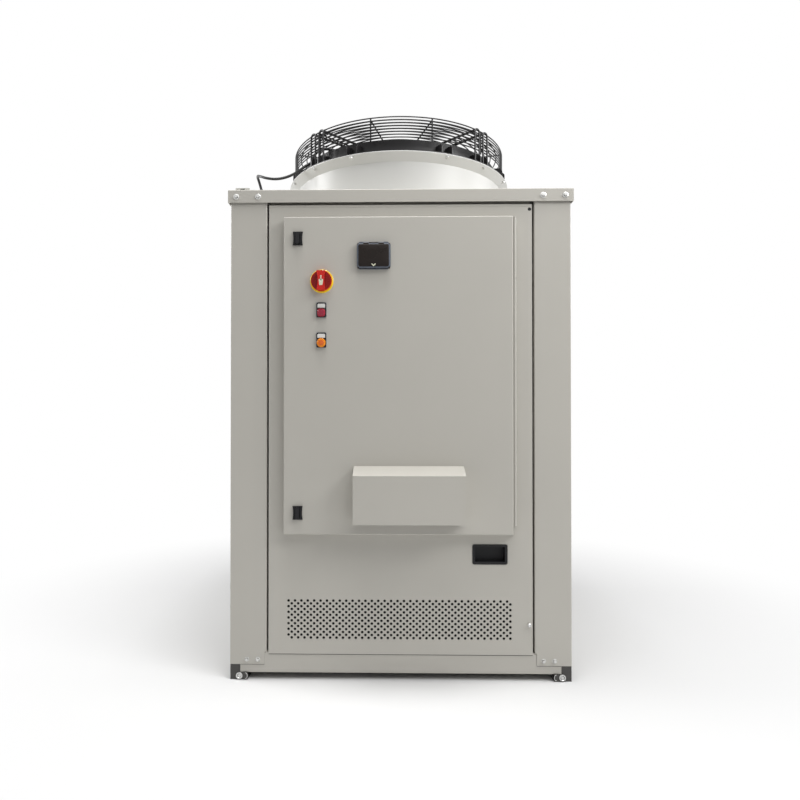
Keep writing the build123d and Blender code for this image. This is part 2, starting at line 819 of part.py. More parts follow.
window_frame.part.label = "window_frame"
export_step(window_frame.part, "parts/window_frame.step")

# The flap is a shallow smoked cover with bevelled edges and a barrel between the ears.
with BuildPart() as window_flap:
    flap_low = window_z - window_high / 2 + flap_inset
    flap_half = window_width / 2 - flap_inset
    slab((window_x - flap_half, window_x + flap_half), (flap_face, flap_back), (flap_low, flap_pin_z))
    chamfer(window_flap.faces().sort_by(Axis.Y)[0].edges(), length=flap_bevel)
    slab(
        (window_x - flap_half + flap_wall, window_x + flap_half - flap_wall),
        (flap_face + flap_wall, flap_back),
        (flap_low + flap_wall, flap_pin_z - flap_barrel_radius - 2 * fit - flap_wall),
        Mode.SUBTRACT,
    )
    for side in (-1, 1):
        ear_middle = window_x + side * (flap_ear_inner + flap_ear_outer) / 2
        ear_half = (flap_ear_outer - flap_ear_inner) / 2 + 1.0
        with BuildSketch(Plane.YZ.offset(ear_middle - ear_half)):
            with Locations((flap_pin_y, flap_pin_z)):
                Circle(flap_barrel_radius + 1.0)
            with Locations((flap_back, flap_pin_z)):
                Rectangle(2 * flap_barrel_radius + 2.0, 2 * flap_barrel_radius + 2.0)
        extrude(amount=2 * ear_half, mode=Mode.SUBTRACT)
    barrel_half = flap_ear_inner - 1.0
    with BuildSketch(Plane.YZ.offset(window_x - barrel_half)):
        with Locations((flap_pin_y, flap_pin_z)):
            Circle(flap_barrel_radius)
    extrude(amount=2 * barrel_half)
    with BuildSketch(Plane.YZ.offset(window_x - barrel_half)):
        with Locations((flap_pin_y, flap_pin_z)):
            Circle(flap_pin_radius + hinge_running)
    extrude(amount=2 * barrel_half, mode=Mode.SUBTRACT)
window_flap.part.label = "window_flap"
export_step(window_flap.part, "parts/window_flap.step")

# The controller sits in the door behind the window.
with BuildPart() as controller:
    slab(
        (window_x - controller_width / 2, window_x + controller_width / 2),
        (door_face - 2.0, door_face + controller_deep),
        (window_z - controller_high / 2, window_z + controller_high / 2),
    )
    chamfer(controller.faces().sort_by(Axis.Y)[0].edges(), length=1.0)
controller.part.label = "controller"
export_step(controller.part, "parts/controller.step")

# The vent hood is a folded sheet on the door, open below.
with BuildPart() as vent_hood:
    with BuildSketch(Plane.YZ.offset(hood_left)):
        with BuildLine():
            Polyline(
                (door_face, hood_low),
                (door_face, hood_high),
                (door_face - hood_proud, hood_brow),
                (door_face - hood_proud, hood_low),
                close=True,
            )
        make_face()
    extrude(amount=hood_right - hood_left)
    hood_back = vent_hood.faces().sort_by(Axis.Y)[-1]
    hood_floor = vent_hood.faces().sort_by(Axis.Z)[0]
    offset(amount=-hood_sheet, openings=[hood_back, hood_floor])
vent_hood.part.label = "vent_hood"
export_step(vent_hood.part, "parts/vent_hood.step")

# The pull handle is a plastic cup let into the front panel.
with BuildPart() as pull_handle:
    with BuildSketch(facing_front(-front)):
        with Locations(((pull_left + pull_right) / 2, (pull_low + pull_high) / 2)):
            RectangleRounded(pull_right - pull_left, pull_high - pull_low, 5.0)
    extrude(amount=pull_lip)
    slab(
        (pull_left + pull_border, pull_right - pull_border),
        (front, front + pull_deep),
        (pull_low + pull_border, pull_high - pull_border),
    )
    slab(
        (pull_left + pull_border + pull_wall, pull_right - pull_border - pull_wall),
        (front - pull_lip, front + pull_deep - pull_wall),
        (pull_low + pull_border + pull_wall, pull_high - pull_border - pull_wall),
        Mode.SUBTRACT,
    )
pull_handle.part.label = "pull_handle"
export_step(pull_handle.part, "parts/pull_handle.step")

# A bright lock stands proud of the front panel at its lower right corner.
with BuildPart() as panel_lock:
    with BuildSketch(facing_front(-front)):
        with Locations((lock_x, lock_z)):
            Circle(lock_radius)
    extrude(amount=lock_proud)
    chamfer(panel_lock.faces().sort_by(Axis.Y)[0].edges(), length=1.0)
    with BuildSketch(facing_front(-front)):
        with Locations((lock_x, lock_z)):
            Circle(lock_barrel_radius)
    extrude(amount=-lock_barrel_reach)
    slab(
        (lock_x - lock_radius, lock_x + lock_radius),
        (front - lock_proud, front - lock_proud + lock_slot_deep),
        (lock_z - lock_slot_half, lock_z + lock_slot_half),
        Mode.SUBTRACT,
    )
panel_lock.part.label = "panel_lock"
export_step(panel_lock.part, "parts/panel_lock.step")

# Two water connections pass through the lower rear panel, each with a nut against it.
with BuildPart() as water_connections:
    for x in stub_x:
        with BuildSketch(Plane.XZ.offset(-half_depth + stub_inside)):
            with Locations((x, stub_z)):
                Circle(stub_radius)
                Circle(stub_radius - stub_wall, mode=Mode.SUBTRACT)
        extrude(amount=-stub_inside - stub_proud)
        with BuildSketch(Plane.XZ.offset(-half_depth)):
            with Locations((x, stub_z)):
                RegularPolygon(stub_nut_radius, 6)
                Circle(stub_radius - 0.5, mode=Mode.SUBTRACT)
        extrude(amount=-stub_nut_thick)
water_connections.part.label = "water_connections"
export_step(water_connections.part, "parts/water_connections.step")

# The cowl is a round wall with a foot on the roof, a flare and a lip that carries the fan ring.
with BuildPart() as cowl:
    with BuildSketch(Plane.XZ):
        with BuildLine():
            inner = cowl_radius - sheet
            Polyline(
                (inner + cowl_foot, roof_height),
                (inner, roof_height),
                (inner, cowl_shoulder),
                (inner + cowl_flare, cowl_shoulder + cowl_flare),
                (inner + cowl_flare - cowl_lip, cowl_shoulder + cowl_flare),
            )
            offset(amount=sheet, side=Side.RIGHT)
        make_face()
    revolve(axis=Axis.Z)
cowl.part.label = "cowl"
export_step(cowl.part, "parts/cowl.step")

# The fan ring is a flat plate and an upright wall, with gusset pairs at its screws.
with BuildPart() as fan_ring:
    with BuildSketch(Plane.XZ):
        with BuildLine():
            Polyline(
                (ring_radius - ring_wall, ring_low),
                (ring_radius, ring_low),
                (ring_radius, plate_under),
                (ring_plate_radius, plate_under),
                (ring_plate_radius, plate_top),
                (ring_radius, plate_top),
                (ring_radius, ring_top),
                (ring_radius - ring_wall, ring_top),
                close=True,
            )
        make_face()
    revolve(axis=Axis.Z)
    for quarter in range(4):
        for angle in ring_foot_angles:
            turn = Plane.XZ.rotated((0, 0, quarter * 90 + angle))
            for side in (-1, 1):
                with BuildSketch(turn.offset(side * ring_foot_width / 2 - ring_foot_thick / 2)):
                    with BuildLine():
                        Polyline(
                            (ring_radius - 1.0, plate_top - 1.0),
                            (ring_plate_radius - 3.0, plate_top - 1.0),
                            (ring_plate_radius - 3.0, plate_top + 5.0),
                            (ring_radius + 8.0, plate_top + ring_foot_high),
                            (ring_radius - 1.0, plate_top + ring_foot_high),
                            close=True,
                        )
                    make_face()
                extrude(amount=ring_foot_thick)
fan_ring.part.label = "fan_ring"
export_step(fan_ring.part, "parts/fan_ring.step")

# The guard's side is rings of wire on upright ribs that lie inside them.
guard_flat = (guard_radius - guard_wire) * cos(radians(guard_turn))
rib_reach = guard_flat + fit
rib_angles = [guard_rib_start + number * guard_rib_step for number in range(round(360 / guard_rib_step))]
with BuildPart() as guard_side:
    side_pitch = (guard_top - guard_low - guard_wire) / (guard_side_rings - 1)
    for number in range(guard_side_rings):
        with BuildSketch(Plane.XY.offset(guard_low + number * side_pitch)):
            RegularPolygon(guard_radius, guard_sides, rotation=guard_turn)
            RegularPolygon(guard_radius - guard_wire, guard_sides, rotation=guard_turn, mode=Mode.SUBTRACT)
        extrude(amount=guard_wire)
    for angle in rib_angles:
        with BuildSketch(Plane.XZ.rotated((0, 0, angle)).offset(-guard_wire / 2)):
            with Locations((rib_reach - guard_wire / 2, (guard_low + guard_top - fit) / 2)):
                Rectangle(guard_wire, guard_top - fit - guard_low)
        extrude(amount=guard_wire)
guard_side.part.label = "guard_side"
export_step(guard_side.part, "parts/guard_side.step")

# The guard's top is flat rings of wire over radial ribs, inside the topmost side ring.
with BuildPart() as guard_top_grille:
    top_pitch = (guard_radius - guard_inner_radius) / guard_top_rings
    for number in range(1, guard_top_rings + 1):
        radius = guard_radius - number * top_pitch
        with BuildSketch(Plane.XY.offset(guard_top - guard_wire)):
            RegularPolygon(radius, guard_sides, rotation=guard_turn)
            RegularPolygon(radius - guard_wire, guard_sides, rotation=guard_turn, mode=Mode.SUBTRACT)
        extrude(amount=guard_wire)
    rib_inner = guard_inner_radius - guard_wire
    rib_outer = rib_reach - guard_wire - fit
    for angle in rib_angles:
        with BuildSketch(Plane.XZ.rotated((0, 0, angle)).offset(-guard_wire / 2)):
            with Locations(((rib_inner + rib_outer) / 2, guard_top - 1.5 * guard_wire + fit)):
                Rectangle(rib_outer - rib_inner, guard_wire)
        extrude(amount=guard_wire)
guard_top_grille.part.label = "guard_top"
export_step(guard_top_grille.part, "parts/guard_top.step")

# At each corner two hairpins of rod stand on the ring, just outside the guard.
with BuildPart() as guard_hairpins:
    for quarter in range(4):
        upright = Plane.YZ.rotated((0, 0, 45 + quarter * 90)).offset(strut_radius)
        for pair in (-1, 1):
            middle = pair * strut_pair
            with BuildLine(upright) as hairpin:
                Polyline(
                    (middle - strut_half, plate_top + fit),
                    (middle - strut_half, arm_z - strut_cut),
                    (middle - strut_half + strut_cut, arm_z),
                    (middle + strut_half - strut_cut, arm_z),
                    (middle + strut_half, arm_z - strut_cut),
                    (middle + strut_half, plate_top + fit),
                )
            with BuildSketch(hairpin.line ^ 0):
                RegularPolygon(strut_wire, 6)
            sweep(path=hairpin.line, transition=Transition.RIGHT)
guard_hairpins.part.label = "guard_hairpins"
export_step(guard_hairpins.part, "parts/guard_hairpins.step")

# Two arms run in from each pair of hairpins to the plate that carries the motor.
with BuildPart() as motor_arms:
    arm_outer = strut_radius - strut_wire - fit
    for quarter in range(4):
        upright = Plane.YZ.rotated((0, 0, 45 + quarter * 90)).offset(arm_inner)
        for pair in (-1, 1):
            with BuildSketch(upright):
                with Locations((pair * strut_pair, arm_z)):
                    RegularPolygon(arm_radius, 6)
            extrude(amount=arm_outer - arm_inner)
    with BuildSketch(Plane.XY.offset(guard_top + fit)):
        Circle(hub_plate_radius)
        Circle(hub_plate_hole, mode=Mode.SUBTRACT)
    extrude(amount=hub_plate_thick)
motor_arms.part.label = "motor_arms"
export_step(motor_arms.part, "parts/motor_arms.step")

# The motor hangs under the hub plate, with its cable gland towards the front left corner.
with BuildPart() as fan_motor:
    with BuildSketch(Plane.XY.offset(motor_low)):
        Circle(motor_radius)
    extrude(amount=guard_top - motor_low)
    chamfer(fan_motor.faces().sort_by(Axis.Z)[0].edges(), length=motor_chamfer)
    with BuildSketch(Plane.XY.offset(motor_low - motor_shaft_length)):
        Circle(motor_shaft_radius)
    extrude(amount=motor_shaft_length + 1.0)
    with BuildSketch(Plane.YZ.rotated((0, 0, 225)).offset(motor_radius - motor_gland_sunk)):
        with Locations((0, motor_gland_z)):
            Circle(motor_gland_radius)
    extrude(amount=motor_gland_proud + motor_gland_sunk)
fan_motor.part.label = "fan_motor"
export_step(fan_motor.part, "parts/fan_motor.step")

# The impeller has a hub on the motor's shaft and twisted blades inside the fan ring.
with BuildPart() as impeller:
    with BuildSketch(Plane.XY.offset(hub_low)):
        Circle(hub_radius)
    extrude(amount=hub_high - hub_low)
    chamfer(impeller.faces().sort_by(Axis.Z)[0].edges(), length=hub_chamfer)
    for number in range(blade_count):
        turn = number * 360 / blade_count
        for station, chord, pitch in blade_stations:
            with BuildSketch(Plane.YZ.rotated((0, 0, turn)).offset(station)):
                with Locations((0, (hub_low + hub_high) / 2)):
                    Rectangle(chord, blade_thick, rotation=pitch)
        loft(ruled=True)
    with BuildSketch(Plane.XY.offset(hub_low - blade_margin)):
        Circle(blade_tip_radius)
    extrude(amount=hub_high - hub_low + 2 * blade_margin, mode=Mode.INTERSECT)
    with BuildSketch(Plane.XY.offset(hub_low)):
        Circle(motor_shaft_radius + running)
    extrude(amount=hub_high - hub_low, mode=Mode.SUBTRACT)
impeller.part.label = "impeller"
export_step(impeller.part, "parts/impeller.step")

# The gland on the roof lets the cable out.
with BuildPart() as cable_gland:
    with BuildSketch(Plane.XY.offset(roof_height)):
        with Locations((gland_x, gland_y)):
            RegularPolygon(gland_nut_radius, 6)
    extrude(amount=gland_nut_high)
    with BuildSketch(Plane.XY.offset(roof_height + gland_nut_high)):
        with Locations((gland_x, gland_y)):
            Circle(gland_dome_radius)
    extrude(amount=gland_high - gland_nut_high, taper=8)
cable_gland.part.label = "cable_gland"
export_step(cable_gland.part, "parts/cable_gland.step")

# The fan cable rises from the gland, turns over, rests near the cowl's rim and goes in to the motor.
cable_end = (motor_gland_reach + cable_end_gap) * cos(radians(45))
cable_route = [
    (gland_x, gland_y, roof_height + gland_high + cable_start_gap),
    (-464, -150, 1506),
    (-480, -152, 1556),
    (-489, -160, 1592),
    (-490, -190, 1602),
    (-474, -226, 1588),
    (-444, -246, 1572),
    (-408, -246, 1569),
    (-372, -240, 1580),
    (-343, -238, 1596),
    (-311, -246, 1616),
    (-293, -230, 1632),
    (-286, -226, 1662),
    (-264, -210, 1686),
    (-234, -183, 1696),
    (-203, -158, 1695),
    (-170, -134, 1698),
    (-135, -112, 1696),
    (-102, -93, 1698),
    (-cable_end, -cable_end, motor_gland_z),
]


def bend_radii(route):
    """The arc at each corner takes 0.45 of the shorter run beside it."""
    points = [Vector(*point) for point in route]
    radii = []
    for before, corner, after in zip(points, points[1:], points[2:]):
        turn = (corner - before).get_angle(after - corner)
        shorter = min((corner - before).length, (after - corner).length)
        radii.append(0.45 * shorter / tan(radians(turn / 2)))
    return radii


cable_radii = bend_radii(cable_route)
print("cable bend radii:", [round(radius, 1) for radius in cable_radii])
with BuildPart() as fan_cable:
    with BuildLine() as cable_line:
        FilletPolyline(*cable_route, radius=cable_radii)
    with BuildSketch(cable_line.line ^ 0) as cable_section:
        RegularPolygon(cable_radius, cable_sides)
    sweep(path=cable_line.line)
fan_cable.part.label = "fan_cable"
export_step(fan_cable.part, "parts/fan_cable.step")
cable_length = sum(edge.length for edge in cable_line.edges())
print("cable length:", round(cable_length, 1))
print("cable volume:", round(fan_cable.part.volume, 1))
print("section times length:", round(cable_section.sketch.area * cable_length, 1))
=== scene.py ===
# %% [markdown]
# # A monoblock heat pump with its fan on the roof
#
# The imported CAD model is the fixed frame. It gives every piece its place, so this
# lesson only adds finishes, light, a camera and the detail that is too fine for CAD.
# All lengths are in metres. The front faces -Y, and the fan's axis is the Z axis.

import bmesh
import bpy
import json
from math import asin, cos, pi, radians, sin, sqrt
from mathutils import Matrix, Vector


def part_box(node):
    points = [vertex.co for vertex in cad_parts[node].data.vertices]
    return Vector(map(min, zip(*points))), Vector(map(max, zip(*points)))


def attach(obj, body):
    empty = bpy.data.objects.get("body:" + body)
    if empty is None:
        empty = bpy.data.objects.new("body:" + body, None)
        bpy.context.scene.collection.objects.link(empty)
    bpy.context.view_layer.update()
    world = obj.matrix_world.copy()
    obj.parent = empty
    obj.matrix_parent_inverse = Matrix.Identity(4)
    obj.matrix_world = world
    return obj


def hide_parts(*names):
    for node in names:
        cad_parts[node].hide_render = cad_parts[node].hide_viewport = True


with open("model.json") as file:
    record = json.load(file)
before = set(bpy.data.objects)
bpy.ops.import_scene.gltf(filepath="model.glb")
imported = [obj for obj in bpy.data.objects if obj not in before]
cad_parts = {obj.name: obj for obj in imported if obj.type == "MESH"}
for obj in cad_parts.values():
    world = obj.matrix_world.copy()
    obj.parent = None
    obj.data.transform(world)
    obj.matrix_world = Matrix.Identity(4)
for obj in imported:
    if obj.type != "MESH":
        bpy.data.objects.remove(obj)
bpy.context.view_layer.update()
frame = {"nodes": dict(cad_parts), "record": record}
nodes = frame["nodes"]

# %% [markdown]
# ## The camera
#
# The photograph is taken from close by, a little left of the middle and about as high
# as the middle of the cabinet. A rough guess could be turned until it looks right, but
# here the place comes from measured edges: the roof's top is just not seen, and the
# posts lean by less than a pixel. The lens is shifted, so that the upright edges stay
# upright while the picture keeps its frame.

# %% Camera
CAMERA_PLACE = (-0.025, -2.320, 0.784)
CAMERA_PITCH = 90.50
CAMERA_YAW = 1.01
FOCAL_PIXELS = 619.8
FRAME_PIXELS = 800.0
SENSOR = 36.0
LENS_SHIFT_X = 0.0242
LENS_SHIFT_Y = 0.0088

camera_data = bpy.data.cameras.new("photo_camera")
camera_data.sensor_width = SENSOR
camera_data.lens = FOCAL_PIXELS / FRAME_PIXELS * SENSOR
camera_data.shift_x = LENS_SHIFT_X
camera_data.shift_y = LENS_SHIFT_Y
camera = bpy.data.objects.new("photo_camera", camera_data)
camera.location = CAMERA_PLACE
camera.rotation_euler = (radians(CAMERA_PITCH), 0.0, radians(CAMERA_YAW))
bpy.context.collection.objects.link(camera)
bpy.context.scene.camera = camera
print("camera at", CAMERA_PLACE)

# %% [markdown]
# ## One recipe for coats and plastics
#
# Powder coat is never one flat colour. It has a fine orange peel, and its gloss and
# tone drift a little over a large sheet. A flat shader would be quicker, but it looks
# like paper. One recipe with noise for the tone, the gloss and the bump serves the
# coats, the plastics and the metals, each with its own sizes.

# %% A finish with drift in tone, gloss and relief
GLOSS_DRIFT = 0.08
RELIEF_DEPTH = 0.0002
TONE_FROM = 0.3  # the share of the noise below which the dark tone holds
TONE_TO = 0.7


def noise(tree, place, scale, detail):
    """Adds noise over the object's own coordinates."""
    texture = tree.nodes.new("ShaderNodeTexNoise")
    texture.inputs["Scale"].default_value = scale
    texture.inputs["Detail"].default_value = detail
    tree.links.new(place.outputs["Object"], texture.inputs["Vector"])
    return texture


def coated(name, colour, roughness, metallic=0.0, tone=0.03, grain=900.0, relief=0.06,
           coat=0.0, specular=0.5, drift=3.0):
    """A surface whose tone, gloss and relief all vary a little."""
    material = bpy.data.materials.new(name)
    material.use_nodes = True
    tree = material.node_tree
    shader = tree.nodes["Principled BSDF"]
    shader.inputs["Metallic"].default_value = metallic
    shader.inputs["Coat Weight"].default_value = coat
    shader.inputs["Specular IOR Level"].default_value = specular
    place = tree.nodes.new("ShaderNodeTexCoord")
    wide = noise(tree, place, drift, 5.0)
    fine = noise(tree, place, grain, 3.0)
    ramp = tree.nodes.new("ShaderNodeValToRGB")
    dark, light = ramp.color_ramp.elements
    dark.position = TONE_FROM
    light.position = TONE_TO
    dark.color = [c * (1 - tone) for c in colour] + [1.0]
    light.color = [min(c * (1 + tone), 1.0) for c in colour] + [1.0]
    tree.links.new(wide.outputs["Fac"], ramp.inputs["Fac"])
    tree.links.new(ramp.outputs["Color"], shader.inputs["Base Color"])
    gloss = tree.nodes.new("ShaderNodeMapRange")
    gloss.inputs["To Min"].default_value = max(roughness - GLOSS_DRIFT, 0.02)
    gloss.inputs["To Max"].default_value = min(roughness + GLOSS_DRIFT, 1.0)
    tree.links.new(wide.outputs["Fac"], gloss.inputs["Value"])
    tree.links.new(gloss.outputs["Result"], shader.inputs["Roughness"])
    bump = tree.nodes.new("ShaderNodeBump")
    bump.inputs["Strength"].default_value = relief
    bump.inputs["Distance"].default_value = RELIEF_DEPTH
    tree.links.new(fine.outputs["Fac"], bump.inputs["Height"])
    tree.links.new(bump.outputs["Normal"], shader.inputs["Normal"])
    return material


def from_screen(red, green, blue):
    """Turns screen values from 0 to 255 into the linear values that shaders use."""
    shares = [value / 255 for value in (red, green, blue)]
    return tuple(((share + 0.055) / 1.055) ** 2.4 if share > 0.04 else share / 12.92 for share in shares)


# %% [markdown]
# ## The finishes of the cabinet and the fan
#
# The cabinet is light grey powder coat, the cowl is white and the fan is black enamel.
# Bright sheet metal could be plain grey, but only a metallic shader shows the room in
# it. The blacks have a low specular level, because the white room brightens them.

# %% Sheet metal, enamel and bare metal
cabinet_grey = coated("cabinet_grey", from_screen(187, 184, 176), 0.42, tone=0.02, coat=0.05)
cowl_white = coated("cowl_white", from_screen(215, 215, 212), 0.38, tone=0.015)
semi_gloss_black = coated(
    "semi_gloss_black", from_screen(34, 33, 34), 0.36, tone=0.12, grain=500.0, specular=0.35)
foot_black = coated("foot_black", from_screen(62, 60, 58), 0.5, tone=0.15)
pale_roof_plate = coated("pale_roof_plate", from_screen(206, 205, 198), 0.4, tone=0.05, drift=20.0)
zinc_sheet = coated("zinc_sheet", from_screen(190, 192, 195), 0.38, metallic=1.0, tone=0.10, drift=30.0)
bright_screw_zinc = coated(
    "bright_screw_zinc", from_screen(205, 205, 203), 0.28, metallic=1.0, tone=0.08, drift=40.0)
union_brass = coated("union_brass", from_screen(196, 160, 92), 0.3, metallic=1.0, tone=0.10, drift=40.0)
coil_aluminium = coated(
    "coil_aluminium", from_screen(168, 170, 172), 0.42, metallic=0.9, tone=0.10, drift=12.0)
# The coil's block behind the fins is darker than the fins, as painted shade of the deep gaps between them.
# The tubes are darker still, as painted shade.
coil_depth_shade = coated("coil_depth_shade", from_screen(122, 124, 126), 0.6, metallic=0.2, tone=0.15, drift=10.0)
tube_shade = coated("tube_shade", from_screen(88, 89, 91), 0.6, metallic=0.3, tone=0.10, drift=10.0)
print("metal finishes:", len(bpy.data.materials))

# %% [markdown]
# ## The finishes of the small parts
#
# Moulded plastic has a finer grain than paint, and rubber is nearly without gloss. The
# lenses and the smoked window could be clear, but what lies behind them is dark and
# hardly seen, so a glossy face in the right tone gives the same look in less time.

# %% Plastics and rubber
black_moulding = coated(
    "black_moulding", from_screen(28, 28, 30), 0.45, tone=0.1, grain=2500.0, relief=0.15, specular=0.25)
grey_moulding = coated("grey_moulding", from_screen(150, 151, 154), 0.4, tone=0.03, grain=2500.0)
# This black is the rubber of the real gaskets, and it also paints the shade in dark strips, sheets and
# slots.
rubber_and_shade_black = coated("rubber_and_shade_black", from_screen(32, 32, 32), 0.85, tone=0.15, grain=1800.0, relief=0.4)
cable_sheath = coated("cable_sheath", from_screen(30, 30, 31), 0.42, tone=0.08, grain=1500.0)
switch_yellow = coated("switch_yellow", from_screen(252, 220, 40), 0.3, tone=0.03)
switch_red = coated("switch_red", from_screen(206, 34, 24), 0.3, tone=0.05, specular=0.35)
lens_crimson = coated("lens_crimson", from_screen(158, 18, 46), 0.2, tone=0.15, drift=120.0, specular=0.35)
lens_orange = coated("lens_orange", from_screen(238, 138, 14), 0.2, tone=0.12, drift=120.0, specular=0.35)
smoked_window = coated(
    "smoked_window", from_screen(32, 26, 23), 0.28, tone=0.10, drift=25.0, specular=0.18)
clear_grey_rim = coated(
    "clear_grey_rim", from_screen(98, 105, 116), 0.42, tone=0.08, drift=60.0, specular=0.2)
print("finishes in all:", len(bpy.data.materials))

# %% [markdown]
# ## Finishes on the CAD pieces
#
# The record says which kind of finish each CAD piece has. A table from kind to finish
# is shorter than a line for each piece, and no piece can be forgotten.

# %% Finishes on the CAD pieces
finish_of_slot = {
    "cabinet_paint": cabinet_grey, "frame_paint": cabinet_grey, "cowl_white": cowl_white,
    "foot_black": foot_black, "plate_pale": pale_roof_plate, "zinc": zinc_sheet,
    "bright_zinc": bright_screw_zinc, "coil_fins": coil_depth_shade, "gasket_rubber": rubber_and_shade_black,
    "black_plastic": black_moulding, "grey_plastic": grey_moulding, "yellow_plastic": switch_yellow,
    "red_plastic": switch_red, "red_lens": lens_crimson, "orange_lens": lens_orange,
    "window_clear": clear_grey_rim, "window_smoked": smoked_window, "brass": union_brass,
    "fan_black": semi_gloss_black, "impeller_black": black_moulding, "cable_black": cable_sheath,
}
for entry in frame["record"]["subparts"]:
    carried = nodes[entry["node"]]
    for socket in carried.material_slots:
        socket.material = finish_of_slot[entry["material_slot"]]
print("finished nodes:", len(nodes))

# %% [markdown]
# ## The cable to the fan
#
# A black cable leaves a gland on the roof, rises, turns over and rests near the cowl's
# rim before it climbs to the motor. A NURBS curve through a few control points bends as
# smoothly as the real sheath, which a chain of straight runs would not.

# %% Fan cable
CABLE_ROUTE = [
    (-0.462, -0.150, 1.4625), (-0.464, -0.150, 1.506), (-0.480, -0.152, 1.556), (-0.489, -0.160, 1.592),
    (-0.490, -0.190, 1.602), (-0.474, -0.226, 1.588), (-0.444, -0.246, 1.572), (-0.408, -0.246, 1.569),
    (-0.372, -0.240, 1.580), (-0.343, -0.238, 1.596), (-0.311, -0.246, 1.616), (-0.293, -0.230, 1.632),
    (-0.286, -0.226, 1.662), (-0.264, -0.210, 1.686), (-0.234, -0.183, 1.696), (-0.203, -0.158, 1.695),
    (-0.170, -0.134, 1.698), (-0.135, -0.112, 1.696), (-0.102, -0.093, 1.698), (-0.07248, -0.07248, 1.697),
]
CABLE_DIAMETER = 0.009
cable_curve = bpy.data.curves.new("fan_cable_run", "CURVE")
cable_curve.dimensions = "3D"
cable_line = cable_curve.splines.new("NURBS")
cable_line.points.add(len(CABLE_ROUTE) - 1)
for point, place in zip(cable_line.points, CABLE_ROUTE):
    point.co = (*place, 1.0)
cable_line.order_u = 3
cable_line.use_endpoint_u = True
cable_curve.bevel_depth = CABLE_DIAMETER / 2
cable_curve.bevel_resolution = 4
cable_curve.resolution_u = 12
cable_curve.materials.append(cable_sheath)
fan_cable = bpy.data.objects.new("fan_cable_run", cable_curve)
bpy.context.collection.objects.link(fan_cable)
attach(fan_cable, "cabinet")
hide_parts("fan_cable")
print("fan_cable_run", len(CABLE_ROUTE), "control points")

# %% [markdown]
# ## Many small pieces in one mesh
#
# Screws, wires and fins are many and alike. Each could be its own object, but then the
# scene would be slow, so like pieces on one body are gathered in one mesh. The helper
# turned adds a shape as a lathe would turn it, and place_piece makes the mesh an object
# that rides on a body.

# %% Turned shapes and placing
def facing(direction, spin=0.0):
    """A turn that takes +Z to the direction given."""
    towards = Vector(direction).to_track_quat("Z", "Y").to_matrix().to_4x4()
    return towards @ Matrix.Rotation(spin, 4, "Z")


def circle(radius, sides, start=0.0):
    """Points on a circle, as pairs. The start is a share of one step."""
    angles = [2 * pi * (step + start) / sides for step in range(sides)]
    return [(radius * cos(angle), radius * sin(angle)) for angle in angles]


def turned(mesh, place, direction, profile, sides=24, spin=0.0):
    """Adds a turned shape. Its profile is radius and height pairs along the direction."""
    pose = Matrix.Translation(Vector(place)) @ facing(direction, spin)
    rings = []
    for radius, height in profile:
        if radius > 0.0:
            rings.append([mesh.verts.new(pose @ Vector((x, y, height))) for x, y in circle(radius, sides)])
        else:
            rings.append([mesh.verts.new(pose @ Vector((0.0, 0.0, height)))])
    for lower, upper in zip(rings, rings[1:]):
        for step in range(sides):
            after = (step + 1) % sides
            corners = [lower[step % len(lower)], lower[after % len(lower)],
                       upper[after % len(upper)], upper[step % len(upper)]]
            corners = list(dict.fromkeys(corners))
            if len(corners) > 2:
                mesh.faces.new(corners)


def place_piece(name, mesh, material, body="cabinet", smooth=40.0):
    """Turns the mesh into an object that rides on a body."""
    bmesh.ops.recalc_face_normals(mesh, faces=mesh.faces)
    data = bpy.data.meshes.new(name)
    mesh.to_mesh(data)
    mesh.free()
    data.materials.append(material)
    data.shade_smooth()
    data.set_sharp_from_angle(angle=radians(smooth))
    made = bpy.data.objects.new(name, data)
    bpy.context.collection.objects.link(made)
    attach(made, body)
    print(name, len(data.polygons), "faces")
    return made


# %% [markdown]
# ## Screws on the cabinet
#
# The roof cap and the posts are held by flanged hexagon screws of bright zinc. A flat
# disc would do from far away, but in the photograph each screw has a lit flank and a
# dark one, so the head is a true hexagon with a flange and a domed top. Real screws
# don't all stop at the same angle, so their spin changes along each side.

# %% Flanged screws
FLANGE_EDGE = 0.0009  # how thick the flange is at its edge
FLANGE_TOP = 0.0018
HEAD_FOOT = 0.0015
SHOULDER_SHARE = 0.8  # of the head's height, where its corners end
CROWN_SHARE = 0.82  # of the head's width, at its top
DOME_SHARE = 1.04
HEAD_SHARE = 0.58  # of the head's width, where the flange meets it


def flanged_screw(mesh, place, direction, across=0.010, flange=0.0085, high=0.006, spin=0.0):
    """Adds a hexagon head on a round flange. The head stands along the direction."""
    turned(mesh, place, direction, [
        (0.0, 0.0), (flange, 0.0), (flange, FLANGE_EDGE), (across * HEAD_SHARE, FLANGE_TOP)])
    hexagon = across / sqrt(3)
    turned(mesh, place, direction, [
        (hexagon, HEAD_FOOT), (hexagon, high * SHOULDER_SHARE), (hexagon * CROWN_SHARE, high),
        (0.0, high * DOME_SHARE)], 6, spin)


CAP_SCREWS_X = (-0.4825, -0.418, 0.418, 0.4825)
CAP_SCREW_Z = 1.4195
CAP_FACE = 0.507
POST_SCREWS_X = (-0.450, -0.418, 0.418, 0.450)
POST_SCREW_Z = 0.0595
POST_FACE = 0.500
SPIN_PER_METRE = 9.0
screws = bmesh.new()
for quarter in range(4):
    turn = Matrix.Rotation(quarter * pi / 2, 4, "Z")
    outward = turn @ Vector((0.0, -1.0, 0.0))
    if quarter in (0, 2):
        for x in CAP_SCREWS_X:
            flanged_screw(
                screws, turn @ Vector((x, -CAP_FACE, CAP_SCREW_Z)), outward, spin=x * SPIN_PER_METRE)
    for x in POST_SCREWS_X:
        flanged_screw(
            screws, turn @ Vector((x, -POST_FACE, POST_SCREW_Z)), outward,
            across=0.009, flange=0.0068, high=0.0065, spin=x * SPIN_PER_METRE)
place_piece("cabinet_screws", screws, bright_screw_zinc)

